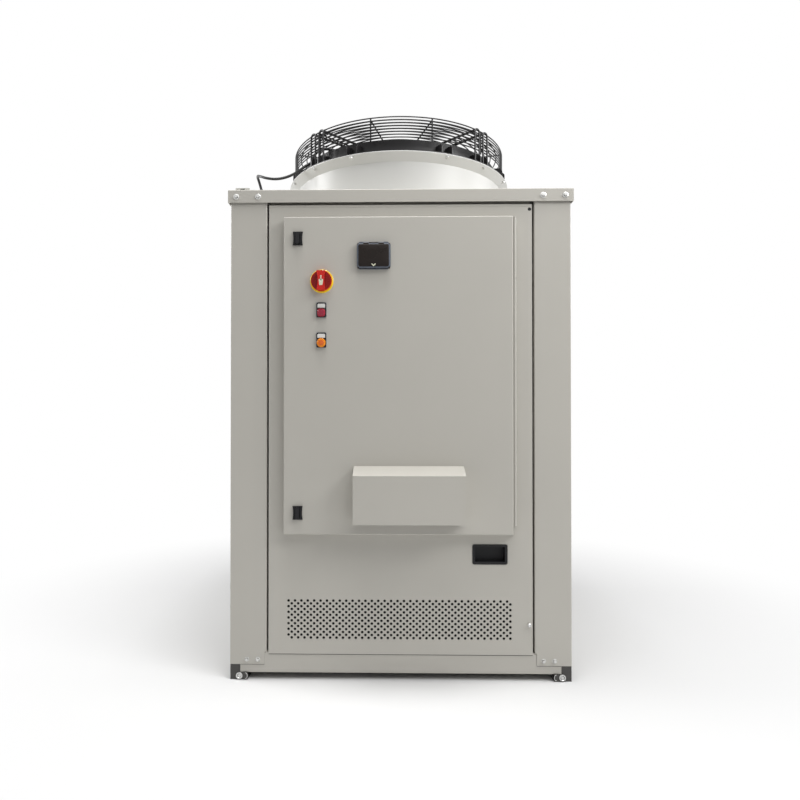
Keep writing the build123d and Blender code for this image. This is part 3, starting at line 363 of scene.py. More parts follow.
# %% [markdown]
# ## The perforated field
#
# Fourteen rows of small round holes let air into the machine space. A picture of dots
# would look flat from the side, and cutting hundreds of cylinders is slow. So the sheet
# is laid out as cells with a hole in each, every second row shifted by half a pitch.

# %% Perforated field
FIELD_LOW, FIELD_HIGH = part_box("vent_field")
HOLE_COLUMNS = 35
HOLE_ROWS = 14
HOLE_RADIUS = 0.0041
HOLE_SIDES = 12
HOLE_FIRST_X = -0.3275
HOLE_LAST_X = 0.3215
HOLE_LOW_Z = 0.1238
HOLE_HIGH_Z = 0.2318
hole_pitch = (HOLE_LAST_X - HOLE_FIRST_X) / (HOLE_COLUMNS - 0.5)
row_pitch = (HOLE_HIGH_Z - HOLE_LOW_Z) / (HOLE_ROWS - 1)


def cell_with_hole(mesh, corners, centre):
    """Adds the front and back of one cell around its round hole, and the hole's wall."""
    rims = []
    for y in (FIELD_LOW.y, FIELD_HIGH.y):
        outer = [mesh.verts.new((x, y, z)) for x, z in corners]
        rim = [
            mesh.verts.new((centre[0] + x, y, centre[1] + z))
            for x, z in circle(HOLE_RADIUS, HOLE_SIDES, start=0.5)
        ]
        rims.append(rim)
        share = HOLE_SIDES // len(corners)
        for number, corner in enumerate(outer):
            start = number * share
            for s in range(start, start + share - 1):
                mesh.faces.new((corner, rim[s], rim[s + 1]))
            following = outer[(number + 1) % len(outer)]
            last = start + share - 1
            mesh.faces.new((corner, rim[last], rim[(last + 1) % HOLE_SIDES], following))
    front_rim, back_rim = rims
    for s in range(HOLE_SIDES):
        after = (s + 1) % HOLE_SIDES
        mesh.faces.new((front_rim[s], front_rim[after], back_rim[after], back_rim[s]))


field = bmesh.new()
for row in range(HOLE_ROWS):
    z = HOLE_HIGH_Z - row * row_pitch
    upper = FIELD_HIGH.z if row == 0 else z + row_pitch / 2
    lower = FIELD_LOW.z if row == HOLE_ROWS - 1 else z - row_pitch / 2
    shift = hole_pitch / 2 * (row % 2)
    for column in range(HOLE_COLUMNS):
        x = HOLE_FIRST_X + shift + column * hole_pitch
        left = FIELD_LOW.x if column == 0 else x - hole_pitch / 2
        right = FIELD_HIGH.x if column == HOLE_COLUMNS - 1 else x + hole_pitch / 2
        cell_with_hole(field, [(right, upper), (left, upper), (left, lower), (right, lower)], (x, z))
perforated_field = place_piece("perforated_field", field, cabinet_grey, smooth=20.0)
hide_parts("vent_field")

# %% [markdown]
# ## Round wire
#
# The guard is made of round wire. A curve with a bevel would give the same shape, but a
# mesh can hold hundreds of wires at once, so this helper sweeps a circle along points.

# %% Wires and rings
def wire(mesh, points, radius, sides=8, closed=False):
    """Adds a round wire along points, with its ends closed."""
    points = [Vector(point) for point in points]
    count = len(points)
    rings = []
    across = None
    for number, point in enumerate(points):
        if closed:
            along = points[(number + 1) % count] - points[number - 1]
        else:
            along = points[min(number + 1, count - 1)] - points[max(number - 1, 0)]
        along.normalize()
        if across is None:
            across = along.orthogonal().normalized()
        across = (across - along * across.dot(along)).normalized()
        second = along.cross(across)
        rings.append([
            mesh.verts.new(point + radius * (a * across + b * second)) for a, b in circle(1.0, sides)])
    pairs = list(zip(rings, rings[1:]))
    if closed:
        pairs.append((rings[-1], rings[0]))
    for lower, upper in pairs:
        for step in range(sides):
            after = (step + 1) % sides
            mesh.faces.new((lower[step], lower[after], upper[after], upper[step]))
    if not closed:
        mesh.faces.new(list(reversed(rings[0])))
        mesh.faces.new(rings[-1])


def ring_points(radius, height, steps=144):
    """Points on a level circle around the fan's axis."""
    return [(x, y, height) for x, y in circle(radius, steps)]


# %% [markdown]
# ## The side of the wire guard
#
# The guard is rings of round wire on upright ribs. In CAD the rings are few and square,
# to keep the file light. Here each ring is a swept circle at its true pitch, which is
# close on the side and wide on top. One ring and an array would also do, but a loop says
# the heights plainly.

# %% Side of the guard
SIDE_LOW, SIDE_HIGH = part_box("guard_side")
RING_WIRE = 0.0020
RIB_WIRE = 0.0025
GUARD_RADIUS = 0.383 - RING_WIRE
SIDE_RINGS = 8
SIDE_PITCH = 0.0092
TOP_RING_Z = SIDE_HIGH.z + 0.0022
RIB_TURN = 1.0  # in degrees, as the fan is turned in the photograph
RIB_ANGLES = [radians(15 + 30 * number + RIB_TURN) for number in range(12)]
RIB_REACH = 0.8  # the share of its radius by which a welded rib stands off the rings
RIB_PROUD = 0.0005
rib_radius = GUARD_RADIUS - RING_WIRE - RIB_WIRE * RIB_REACH
side_wires = bmesh.new()
for number in range(SIDE_RINGS):
    ring = ring_points(GUARD_RADIUS, TOP_RING_Z - number * SIDE_PITCH)
    wire(side_wires, ring, RING_WIRE, sides=6, closed=True)
for angle in RIB_ANGLES:
    foot = Vector((rib_radius * cos(angle), rib_radius * sin(angle), SIDE_LOW.z))
    head = Vector((foot.x, foot.y, TOP_RING_Z + RIB_PROUD))
    wire(side_wires, [foot, head], RIB_WIRE)
guard_side_wires = place_piece("guard_side_wires", side_wires, semi_gloss_black)
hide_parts("guard_side")

# %% [markdown]
# ## The top of the wire guard
#
# Eleven level rings lie on twelve radial ribs. They could be one flat grille with a
# picture of wires, but the photograph looks at them nearly edge on, where only round
# wires at their true height overlap as the real ones do.

# %% Top of the guard
TOP_RINGS = 11
TOP_PITCH = 0.0205
RIB_END_GAP = 0.003
top_inner = GUARD_RADIUS - TOP_RINGS * TOP_PITCH
rib_height = TOP_RING_Z - RING_WIRE - RIB_WIRE * RIB_REACH
top_wires = bmesh.new()
for number in range(1, TOP_RINGS + 1):
    ring = ring_points(GUARD_RADIUS - number * TOP_PITCH, TOP_RING_Z, 120)
    wire(top_wires, ring, RING_WIRE, sides=6, closed=True)
for angle in RIB_ANGLES:
    wire(top_wires, [
        (reach * cos(angle), reach * sin(angle), rib_height)
        for reach in (top_inner, rib_radius - RIB_END_GAP)], RIB_WIRE)
guard_top_wires = place_piece("guard_top_wires", top_wires, semi_gloss_black)
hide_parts("guard_top")

# %% [markdown]
# ## Hairpins
#
# Two bent rods at each corner tie the guard to the ring and hold up the motor's arms.
# In CAD their bends are cut corners. Each could be two legs and half a torus, but one
# swept line with a rounded bend has no seams.

# %% Hairpins
PIN_LOW, PIN_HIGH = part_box("guard_hairpins")
HAIRPIN_ROD = 0.0032
HAIRPIN_RADIUS = 0.384
PAIR_OFFSET = 0.021
HALF_LEG = 0.0112
BEND_STEPS = 10


def hairpin_line(middle, low, high):
    """Points up one leg, round the half circle and down the other, in the tangent plane."""
    bend_middle = high - HALF_LEG
    angles = [pi * step / BEND_STEPS for step in range(BEND_STEPS + 1)]
    bend = [(middle - HALF_LEG * cos(angle), bend_middle + HALF_LEG * sin(angle)) for angle in angles]
    left, right = middle - HALF_LEG, middle + HALF_LEG
    halfway = (low + high) / 2
    return [(left, low), (left, halfway), *bend, (right, halfway), (right, low)]


hairpins = bmesh.new()
for quarter in range(4):
    turn = Matrix.Rotation(radians(45 + 90 * quarter), 4, "Z")
    for pair in (-1, 1):
        line = hairpin_line(pair * PAIR_OFFSET, PIN_LOW.z, PIN_HIGH.z - HAIRPIN_ROD)
        wire(hairpins, [turn @ Vector((HAIRPIN_RADIUS, y, z)) for y, z in line], HAIRPIN_ROD)
bent_hairpins = place_piece("bent_hairpins", hairpins, semi_gloss_black)
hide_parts("guard_hairpins")

# %% [markdown]
# ## The fan's screws
#
# Twelve screws pass through the sloping band of the cowl, and twelve more hold the black
# ring's feet to it at the same angles. They could be instances of one screw, but one
# mesh on one body is one piece.

# %% Screws of the cowl and the ring
FOOT_ANGLES = [radians(quarter * 90 + angle) for quarter in range(4) for angle in (22.5, 45.0, 67.5)]
COWL_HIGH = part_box("cowl")[1]
BAND_MIDDLE_Z = COWL_HIGH.z - 0.0085
BAND_RADIUS = COWL_HIGH.x - 0.0055
FOOT_SCREW_RADIUS = 0.379
FOOT_SCREW_Z = COWL_HIGH.z + 0.0033
fan_screws = bmesh.new()
for angle in FOOT_ANGLES:
    x, y = cos(angle), sin(angle)
    outward = Vector((x, y, -1.0)).normalized()
    flanged_screw(
        fan_screws, (BAND_RADIUS * x, BAND_RADIUS * y, BAND_MIDDLE_Z), outward,
        across=0.008, flange=0.007, high=0.005)
    flanged_screw(
        fan_screws, (FOOT_SCREW_RADIUS * x, FOOT_SCREW_RADIUS * y, FOOT_SCREW_Z), (0, 0, 1),
        across=0.009, flange=0.0075)
place_piece("fan_screws", fan_screws, bright_screw_zinc)

# %% [markdown]
# ## The coils
#
# Three sides carry a bank of thin aluminium fins on level tubes. Hundreds of true sheets
# are cheap when each is one flat block, and they give the fine lines and the dark gaps
# that a striped picture can't give from a slant.

# %% Coil fins and tubes
def block(mesh, low, high, turn=Matrix.Identity(4)):
    """Adds a block between two corners. A turn swings it about the fan's axis."""
    middle = (Vector(low) + Vector(high)) / 2
    size = Vector(high) - Vector(low)
    for vertex in bmesh.ops.create_cube(mesh, size=1.0)["verts"]:
        vertex.co = turn @ (Vector(a * b for a, b in zip(vertex.co, size)) + middle)


FIN_PITCH = 0.0026
FIN_THICK = 0.0004
FIN_FACE = -0.4880
FIN_DEPTH = 0.0036
FIN_SPAN = 0.3720
FIN_FOOT = 0.0145  # above the lower edge of the coil
FIN_TOP_Z = 1.3875
TUBE_COUNT = 18
TUBE_FOOT = 0.04  # above the lower edge of the coil
TUBE_PITCH = 0.0508
TUBE_RADIUS = 0.0024
TUBE_Y = -0.4855
TUBE_SPAN = 0.3715
for name, quarter in (("coil_left", -1), ("coil_right", 1), ("coil_rear", 2)):
    coil_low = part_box(name)[0].z
    turn = Matrix.Rotation(quarter * pi / 2, 4, "Z")
    fins = bmesh.new()
    for number in range(int(2 * FIN_SPAN / FIN_PITCH) + 1):
        x = -FIN_SPAN + number * FIN_PITCH
        block(fins, (x - FIN_THICK / 2, FIN_FACE, coil_low + FIN_FOOT),
              (x + FIN_THICK / 2, FIN_FACE + FIN_DEPTH, FIN_TOP_Z), turn)
    tubes = bmesh.new()
    for number in range(TUBE_COUNT):
        height = coil_low + TUBE_FOOT + number * TUBE_PITCH
        wire(tubes, [turn @ Vector((x, TUBE_Y, height)) for x in (-TUBE_SPAN, TUBE_SPAN)], TUBE_RADIUS)
    place_piece(name + "_fins", fins, coil_aluminium, smooth=20.0)
    # The tubes are dark grey as painted shade between the fins.
    place_piece(name + "_tubes", tubes, tube_shade)

# %% [markdown]
# ## Feet of the fan ring
#
# A pair of moulded black cheeks stands at each screw of the ring and stiffens its flat
# plate. They are tall at the ring's wall and drop to the plate's edge. Blocks would be
# simpler, but the slope shows, so each cheek is one outline drawn twice and joined.

# %% Ring feet
def skin(mesh, loops, first_end=True, last_end=True):
    """Joins closed loops of equally many points, and closes the two ends."""
    rings = [[mesh.verts.new(Vector(point)) for point in loop] for loop in loops]
    count = len(rings[0])
    for near, far in zip(rings, rings[1:]):
        for step in range(count):
            after = (step + 1) % count
            mesh.faces.new((near[step], near[after], far[after], far[step]))
    if first_end:
        mesh.faces.new(list(reversed(rings[0])))
    if last_end:
        mesh.faces.new(rings[-1])


CHEEK_THICK = 0.0032
CHEEK_SPREAD = 0.018
CHEEK_BASE_Z = COWL_HIGH.z + 0.0034
CHEEK_PROFILE = ((0.3558, 0.0), (0.3965, 0.0), (0.3965, 0.020), (0.3880, 0.030), (0.3558, 0.034))
ring_feet = bmesh.new()
for angle in FOOT_ANGLES:
    turn = Matrix.Rotation(angle, 4, "Z")
    for side in (-1, 1):
        skin(ring_feet, [
            [turn @ Vector((x, side * CHEEK_SPREAD + half, CHEEK_BASE_Z + z)) for x, z in CHEEK_PROFILE]
            for half in (-CHEEK_THICK / 2, CHEEK_THICK / 2)])
place_piece("ring_feet", ring_feet, semi_gloss_black, smooth=20.0)

# %% [markdown]
# ## The rail over the front panel
#
# A folded rail under the roof carries the top of the front panel, and it closes the slit
# to the fan. Its fold could be bent from a sheet with a modifier. Only its faces show,
# so three thin blocks are enough.

# %% Top rail
FRONT_SPAN = 0.3865
RAIL_FACES = (  # the low and the high corner of each face, as Y and Z
    ((-0.4995, 1.3885), (-0.4975, 1.3955)),
    ((-0.4780, 1.3600), (-0.4765, 1.4360)),
    ((-0.4975, 1.3940), (-0.4780, 1.3955)),
)
top_rail = bmesh.new()
for low, high in RAIL_FACES:
    block(top_rail, (-FRONT_SPAN, *low), (FRONT_SPAN, *high))
place_piece("front_top_rail", top_rail, cabinet_grey, smooth=20.0)

# %% [markdown]
# ## Plates with round corners
#
# Most small pieces on the front are plates with round corners. A bevelled cube would do,
# but its corners are harder to size, so the outline is drawn first and then given a
# thickness between two distances in front of a face.

# %% Outlines and plates
def rounded(x, z, half_wide, half_high, radius, top_radius=None, steps=5):
    """The outline of an upright rectangle with round corners, as x and z pairs."""
    upper = radius if top_radius is None else top_radius
    outline = []
    for x_side, z_side, start, bend in (
        (1, 1, 0, upper), (-1, 1, 90, upper), (-1, -1, 180, radius), (1, -1, 270, radius),
    ):
        for step in range(steps + 1):
            angle = radians(start + 90 * step / steps)
            outline.append((x + x_side * (half_wide - bend) + bend * cos(angle),
                            z + z_side * (half_high - bend) + bend * sin(angle)))
    return outline


def front_plate(mesh, outline, face, start, proud):
    """Adds a plate that reaches from one distance in front of a face to another."""
    skin(mesh, [[(x, face - distance, z) for x, z in outline] for distance in (start, proud)])


# %% [markdown]
# ## Painted shade behind the holes and in the slits
#
# Black sheets lie behind the perforated field and the spare hole as painted shade, so
# the holes look deep. Thin black strips paint the shade in the slits under the panel and
# the posts, by the lower rail. A dark material on the sheets behind would do the same,
# but the strips also close the slits.

# %% Painted shade behind the holes and in the slits
SPARE_HOLE_SHADE = ((0.3640, -0.4984, 1.3700), (0.3860, -0.4900, 1.3878))
SHADE_STRIP_FRONT = -0.4990
SHADE_STRIP_BACK = -0.4980
PANEL_SHADE_LOW = 0.0742
PANEL_SHADE_HIGH = 0.0760
POST_SHADE_INNER = 0.3985
POST_SHADE_OUTER = 0.4690
POST_SHADE_LOW = 0.0436
POST_SHADE_HIGH = 0.0450
FIELD_SHADE_OUTLINE = rounded(-0.003, 0.177, 0.345, 0.072, 0.006)
FIELD_SHADE_BACK = -0.4760
FIELD_SHADE_THICK = 0.0140
# Sheets and strips of black that paint the shade behind the holes and in the slits.
shade_sheets = bmesh.new()
block(shade_sheets, *SPARE_HOLE_SHADE)
block(shade_sheets, (-FRONT_SPAN, SHADE_STRIP_FRONT, PANEL_SHADE_LOW), (FRONT_SPAN, SHADE_STRIP_BACK, PANEL_SHADE_HIGH))
for side in (-1, 1):
    low_x, high_x = sorted((side * POST_SHADE_INNER, side * POST_SHADE_OUTER))
    block(shade_sheets, (low_x, SHADE_STRIP_FRONT, POST_SHADE_LOW), (high_x, SHADE_STRIP_BACK, POST_SHADE_HIGH))
front_plate(shade_sheets, FIELD_SHADE_OUTLINE, FIELD_SHADE_BACK, 0.0, FIELD_SHADE_THICK)
place_piece("painted_shade_strips", shade_sheets, rubber_and_shade_black, smooth=20.0)

# %% [markdown]
# ## The fold of the hinge
#
# The hinge's moving leaf has a small fold beside the door, which shows as a thin upright
# line. It could be part of the leaf in CAD, but at a millimetre and a half it is detail
# for the scene, so one block rides on the door.

# %% Hinge fold
HINGE_FOLD = ((0.3257, -0.5262, 0.4570), (0.3272, -0.5247, 1.3520))
hinge_fold = bmesh.new()
block(hinge_fold, *HINGE_FOLD)
place_piece("hinge_fold", hinge_fold, cabinet_grey, body="control_door", smooth=20.0)

# %% [markdown]
# ## Grips of the latches
#
# The latches are waisted knobs with raised bars, so that a thumb can turn them. The bars
# could be a bump in the material, but they must hold from the side too. Two upright
# edges and five small bars are laid on each knob, and they turn with it.

# %% Latch grips
LATCH_X = -0.2965
LATCH_HEIGHTS = {"latch_upper": 1.288, "latch_lower": 0.494}
DOOR_FACE = -0.530
EDGE_SPREAD = 0.0100
EDGE_SIZES = (0.0016, 0.0165, 0.0012)  # half the width, half the height and the corner
EDGE_DEPTHS = (0.0042, 0.0075)  # where it starts and ends in front of the door
BAR_PITCH = 0.0058
BAR_SIZES = (0.0042, 0.0009, 0.0008)
BAR_DEPTHS = (0.0092, 0.0101)
BAR_STEPS = (-2, -1, 0, 1, 2)
for name, height in LATCH_HEIGHTS.items():
    grip = bmesh.new()
    for side in (-1, 1):
        edge = rounded(LATCH_X + side * EDGE_SPREAD, height, *EDGE_SIZES)
        front_plate(grip, edge, DOOR_FACE, *EDGE_DEPTHS)
    for step in BAR_STEPS:
        bar = rounded(LATCH_X, height + step * BAR_PITCH, *BAR_SIZES)
        front_plate(grip, bar, DOOR_FACE, *BAR_DEPTHS)
    place_piece(name + "_grip", grip, black_moulding, body=name)

# %% [markdown]
# ## The plate of the main switch
#
# A safety switch has a yellow plate and a red knob. The rim of the plate is chamfered,
# which a plain disc can't show, so it is turned from a short profile.

# %% Plate of the switch
SWITCH_X = -0.2275
SWITCH_Z = 1.164
RIM_PLACE = (SWITCH_X + 0.0004, DOOR_FACE, SWITCH_Z - 0.0003)
RIM_PROFILE = ((0.0, 0.0), (0.0340, 0.0), (0.0340, 0.0026), (0.0330, 0.0034), (0.0, 0.0034))
yellow_rim = bmesh.new()
turned(yellow_rim, RIM_PLACE, (0, -1, 0), RIM_PROFILE, 64)
place_piece("switch_rim", yellow_rim, switch_yellow, body="control_door", smooth=30.0)

# %% [markdown]
# ## The sides of the knob
#
# The knob's waisted grip stands between ribbed sides that lie in shade. The shade could
# be left to the lamps, but at this size the ribs need a deeper red to be seen. Each side
# is a slice of the disc with four upright ribs that get shorter towards the edge.

# %% Sides of the knob
SWITCH_DISC = DOOR_FACE - 0.0113
SIDE_REACH = 0.0288
SIDE_HALF = 0.0255
SIDE_STEPS = 12
SIDE_DEPTHS = (-0.0004, 0.0004)  # where it starts and ends in front of the disc
WAIST_END = 0.0118  # from the middle of the knob to the grip, at its ends
WAIST_MIDDLE = 0.0092
KNOB_RIBS = 4
KNOB_RIB_FIRST = 0.0150
KNOB_RIB_PITCH = 0.0034
KNOB_RIB_CIRCLE = 0.0272  # the ribs end a little inside this circle
KNOB_RIB_SHORT = 0.002
KNOB_RIB_HALF = 0.0009
KNOB_RIB_CORNER = 0.0007
KNOB_RIB_DEPTHS = (0.0002, 0.0024)
knob_shade = coated("knob_shade", from_screen(150, 22, 20), 0.4, tone=0.08, specular=0.3)
knob_sides = bmesh.new()
for side in (-1, 1):
    widest = asin(SIDE_HALF / SIDE_REACH)
    arc = [widest * (1 - 2 * step / SIDE_STEPS) for step in range(SIDE_STEPS + 1)]
    outline = [(SIDE_REACH * cos(angle), SIDE_REACH * sin(angle)) for angle in arc]
    outline += [(WAIST_END, -SIDE_HALF), (WAIST_MIDDLE, 0.0), (WAIST_END, SIDE_HALF)]
    outline = [(SWITCH_X + side * x, SWITCH_Z + z) for x, z in outline]
    front_plate(knob_sides, outline, SWITCH_DISC, *SIDE_DEPTHS)
    for number in range(KNOB_RIBS):
        x = KNOB_RIB_FIRST + number * KNOB_RIB_PITCH
        tall = sqrt(KNOB_RIB_CIRCLE ** 2 - x ** 2) - KNOB_RIB_SHORT
        rib = rounded(SWITCH_X + side * x, SWITCH_Z, KNOB_RIB_HALF, tall, KNOB_RIB_CORNER)
        front_plate(knob_sides, rib, SWITCH_DISC, *KNOB_RIB_DEPTHS)
place_piece("knob_sides", knob_sides, knob_shade, body="switch_handle", smooth=30.0)

# %% [markdown]
# ## The edges and the mark of the knob
#
# Bright rounded edges run along the grip, and a pale mark shows which way it points.
# The edges could be a bevel on the CAD handle, but CAD pieces are never changed, so thin
# wires follow them. The mark is a plain key shape.

# %% Edges and mark of the knob
SWITCH_GRIP = DOOR_FACE - 0.0213
GRIP_EDGE = ((0.0116, 0.0268), (0.0090, 0.0134), (0.0082, 0.0), (0.0090, -0.0134), (0.0116, -0.0268))
GRIP_EDGE_RADIUS = 0.0012
GRIP_EDGE_SUNK = 0.0002
MARK_THICK = 0.0004
MARK_STEM = rounded(SWITCH_X, SWITCH_Z + 0.0065, 0.0017, 0.0075, 0.0012)
MARK_HEAD = (
    (0.0066, 0.0012), (0.0020, 0.0030), (-0.0020, 0.0030), (-0.0066, 0.0012), (-0.0058, -0.0040),
    (-0.0044, -0.0150), (0.0044, -0.0150), (0.0058, -0.0040),
)
knob_grip = bmesh.new()
for side in (-1, 1):
    wire(knob_grip, [
        (SWITCH_X + side * x, SWITCH_GRIP + GRIP_EDGE_SUNK, SWITCH_Z + z) for x, z in GRIP_EDGE],
        GRIP_EDGE_RADIUS)
place_piece("knob_grip_edges", knob_grip, switch_red, body="switch_handle")
pale_mark = coated("pale_mark", from_screen(226, 226, 200), 0.5, tone=0.03, grain=1500.0)
key_mark = bmesh.new()
for outline in (MARK_STEM, [(SWITCH_X + x, SWITCH_Z + z) for x, z in MARK_HEAD]):
    front_plate(key_mark, outline, SWITCH_GRIP, 0.0, MARK_THICK)
place_piece("knob_mark", key_mark, pale_mark, body="switch_handle", smooth=30.0)

# %% [markdown]
# ## The holders of the pilot lights
#
# Each light has a black base under the lens and a blank white legend above it. The base
# could be one plate, but the real one steps up around the lens, so it is two.

# %% Holders of the pilot lights
PILOT_X = -0.228
RED_LENS_Z = 1.072
ORANGE_LENS_Z = 0.985
HOLDER_FACE = DOOR_FACE - 0.0035
# Each plate is how far above the lens, half the width, half the height and its corners.
HOLDER = (0.0082, 0.0141, 0.0217, 0.0016, 0.0048)
COLLAR = (-0.0005, 0.0138, 0.0128, 0.0015)
LEGEND = (0.0205, 0.0112, 0.0058, 0.0008, 0.0036)
HOLDER_PROUD = 0.0010
COLLAR_PROUD = 0.0024
LEGEND_SUNK = 0.0008
LEGEND_PROUD = 0.0016


def beside_lens(lens_z, above, *sizes):
    """The outline of a plate whose middle is a distance above the lens."""
    return rounded(PILOT_X, lens_z + above, *sizes)


legend_white = coated("legend_white", from_screen(228, 228, 224), 0.4, tone=0.02, grain=1500.0)
bases = bmesh.new()
legends = bmesh.new()
for lens_z in (RED_LENS_Z, ORANGE_LENS_Z):
    front_plate(bases, beside_lens(lens_z, *HOLDER), HOLDER_FACE, 0.0, HOLDER_PROUD)
    front_plate(bases, beside_lens(lens_z, *COLLAR), HOLDER_FACE, 0.0, COLLAR_PROUD)
    front_plate(legends, beside_lens(lens_z, *LEGEND), HOLDER_FACE, LEGEND_SUNK, LEGEND_PROUD)
place_piece("pilot_bases", bases, black_moulding, body="control_door")
place_piece("pilot_legends", legends, legend_white, body="control_door")

# %% [markdown]
# ## The steps on the lenses
#
# The red lens is a soft square and the orange one is round, each with a step on its
# face. Glass with a lamp behind it would be one way. The lights are off, so a raised
# middle in a second tone gives the step and its edge.

# %% Steps on the lenses
LENS_FACE = DOOR_FACE - 0.0115
LENS_STEP = 0.0008
RED_STEP_OUTER = (0.0076, 0.0076, 0.0035)  # half the width, half the height and the corner
RED_STEP_INNER = (0.0068, 0.0068, 0.0030)
ORANGE_STEP = ((0.0080, 0.0), (0.0074, LENS_STEP), (0.0, 0.0011))
lens_crimson_core = coated(
    "lens_crimson_core", from_screen(150, 30, 56), 0.2, tone=0.1, drift=150.0, specular=0.4)
lens_orange_core = coated(
    "lens_orange_core", from_screen(222, 104, 34), 0.2, tone=0.1, drift=150.0, specular=0.4)
red_core = bmesh.new()
skin(red_core, [
    [(x, LENS_FACE, z) for x, z in rounded(PILOT_X, RED_LENS_Z, *RED_STEP_OUTER)],
    [(x, LENS_FACE - LENS_STEP, z) for x, z in rounded(PILOT_X, RED_LENS_Z, *RED_STEP_INNER)],
], first_end=False)
place_piece("red_lens_step", red_core, lens_crimson_core, body="control_door")
orange_core = bmesh.new()
turned(orange_core, (PILOT_X, LENS_FACE, ORANGE_LENS_Z), (0, -1, 0), ORANGE_STEP, 32)
place_piece("orange_lens_step", orange_core, lens_orange_core, body="control_door")

# %% [markdown]
# ## The smoked window
#
# A dark, slightly domed face sits in a bluish clear rim. A sphere could be cut for the
# dome, but a few outlines at growing distances say its shape in two short tables.

# %% Rim and pane of the window
WINDOW_X = -0.0765
WINDOW_LOW = 1.19925
WINDOW_HIGH = 1.27155
FLAP_FACE = DOOR_FACE - 0.0153
window_middle = (WINDOW_LOW + WINDOW_HIGH) / 2
half_high = (WINDOW_HIGH - WINDOW_LOW) / 2
# Each row is the distance behind the flap's face, half the width, how much less than
# half the flap's height it is high, and the corner.
RIM_OUTLINES = (
    (0.0036, 0.0474, 0.0002, 0.0075), (0.0006, 0.0466, 0.0022, 0.0070),
    (-0.0006, 0.0452, 0.0030, 0.0060), (-0.0003, 0.0440, 0.0038, 0.0056),
)
PANE_OUTLINES = (
    (-0.0001, 0.0442, 0.0037, 0.0056), (-0.0012, 0.0434, 0.0043, 0.0056),
    (-0.0012, 0.0412, 0.0068, 0.0070), (-0.0022, 0.0390, 0.0090, 0.0080),
    (-0.0026, 0.0200, 0.0220, 0.0060),
)


def flap_loops(rows):
    """The outlines of one table, as loops of points on the flap."""
    loops = []
    for behind, wide, less, bend in rows:
        outline = rounded(WINDOW_X, window_middle, wide, half_high - less, bend)
        loops.append([(x, FLAP_FACE + behind, z) for x, z in outline])
    return loops


rim = bmesh.new()
skin(rim, flap_loops(RIM_OUTLINES), first_end=False, last_end=False)
place_piece("window_rim", rim, clear_grey_rim, body="window_flap")
pane = bmesh.new()
skin(pane, flap_loops(PANE_OUTLINES), first_end=False)
place_piece("window_pane", pane, smoked_window, body="window_flap", smooth=60.0)

# %% [markdown]
# ## The arrow and the knuckles of the window
#
# A small pale arrow shows where to lift the window, and two dark knuckles at the top are
# its hinge. The arrow could be painted on, but real ones are moulded and stand proud.

# %% Arrow and knuckles
ARROW_TIP_Z = 1.2030
ARROW = (
    (0.0, 0.0), (0.0066, 0.0070), (0.0048, 0.0086), (0.0, 0.0040), (-0.0048, 0.0086), (-0.0066, 0.0070))
ARROW_DEPTHS = (0.0010, 0.0030)
KNUCKLE_SPREAD = 0.0220
KNUCKLE_RADIUS = 0.0036
KNUCKLE_LENGTH = 0.0160
KNUCKLE_Y = FLAP_FACE + 0.0020
KNUCKLE_Z = WINDOW_HIGH - 0.0022
arrow = bmesh.new()
front_plate(arrow, [(WINDOW_X + x, ARROW_TIP_Z + z) for x, z in ARROW], FLAP_FACE, *ARROW_DEPTHS)
place_piece("window_arrow", arrow, pale_mark, body="window_flap", smooth=20.0)
knuckles = bmesh.new()
for side in (-1, 1):
    knuckle_start = WINDOW_X + side * KNUCKLE_SPREAD - KNUCKLE_LENGTH / 2
    turned(knuckles, (knuckle_start, KNUCKLE_Y, KNUCKLE_Z), (1, 0, 0), [
        (0.0, 0.0), (KNUCKLE_RADIUS, 0.0), (KNUCKLE_RADIUS, KNUCKLE_LENGTH), (0.0, KNUCKLE_LENGTH)], 20)
place_piece("window_knuckles", knuckles, smoked_window, body="window_flap")

# %% [markdown]
# ## Ring bolts and lugs
#
# Each foot carries a bright ring bolt and a small lug with a wire loop for the lashing.
# A torus and a cylinder would be the ready-made shapes, and the wire and lathe helpers
# already give both in the one mesh.

# %% Ring bolts and lugs
EYE_X = 0.4720
EYE_Y = 0.5020
EYE_Z = 0.0120
EYE_RADIUS = 0.0078
EYE_WIRE = 0.0023
EYE_STEPS = 28
BOLT_PROFILE = ((0.0, 0.0), (0.0045, 0.0), (0.0045, 0.0030), (0.0, 0.0036))
BOLT_BACK = 0.0030
LUG_INNER = 0.4480
LUG_OUTER = 0.4640
LUG_HALF_HIGH = 0.0100
LUG_CORNER = 0.0040
LUG_BACK_Y = 0.4985
LOOP_X = 0.4540
LOOP_Y = 0.5035
LOOP_Z = 0.0125
LOOP_WIDE = 0.0060
LOOP_HIGH = 0.0085
LOOP_WIRE = 0.0011
LOOP_STEPS = 12
ring_bolts = bmesh.new()
lugs = bmesh.new()
for x_side in (-1, 1):
    for y_side in (-1, 1):
        eye = Vector((x_side * EYE_X, y_side * EYE_Y, EYE_Z))
        ring = [eye + Vector((x, 0.0, z)) for x, z in circle(EYE_RADIUS, EYE_STEPS)]
        wire(ring_bolts, ring, EYE_WIRE, closed=True)
        turned(ring_bolts, eye - Vector((0.0, y_side * BOLT_BACK, 0.0)), (0, y_side, 0), BOLT_PROFILE, 16)
        lug_x = x_side * (LUG_INNER + LUG_OUTER) / 2
        lug = rounded(lug_x, EYE_Z, (LUG_OUTER - LUG_INNER) / 2, LUG_HALF_HIGH, LUG_CORNER)
        skin(lugs, [[(x, y_side * y, z) for x, z in lug] for y in (LUG_BACK_Y, EYE_Y)])
        middle = Vector((x_side * LOOP_X, y_side * LOOP_Y, LOOP_Z))
        angles = [pi * step / LOOP_STEPS for step in range(LOOP_STEPS + 1)]
        wire(ring_bolts, [
            middle + Vector((-x_side * LOOP_WIDE * sin(angle), 0.0, LOOP_HIGH * cos(angle)))
            for angle in angles], LOOP_WIRE)
place_piece("ring_bolts", ring_bolts, bright_screw_zinc)
place_piece("foot_lugs", lugs, foot_black)

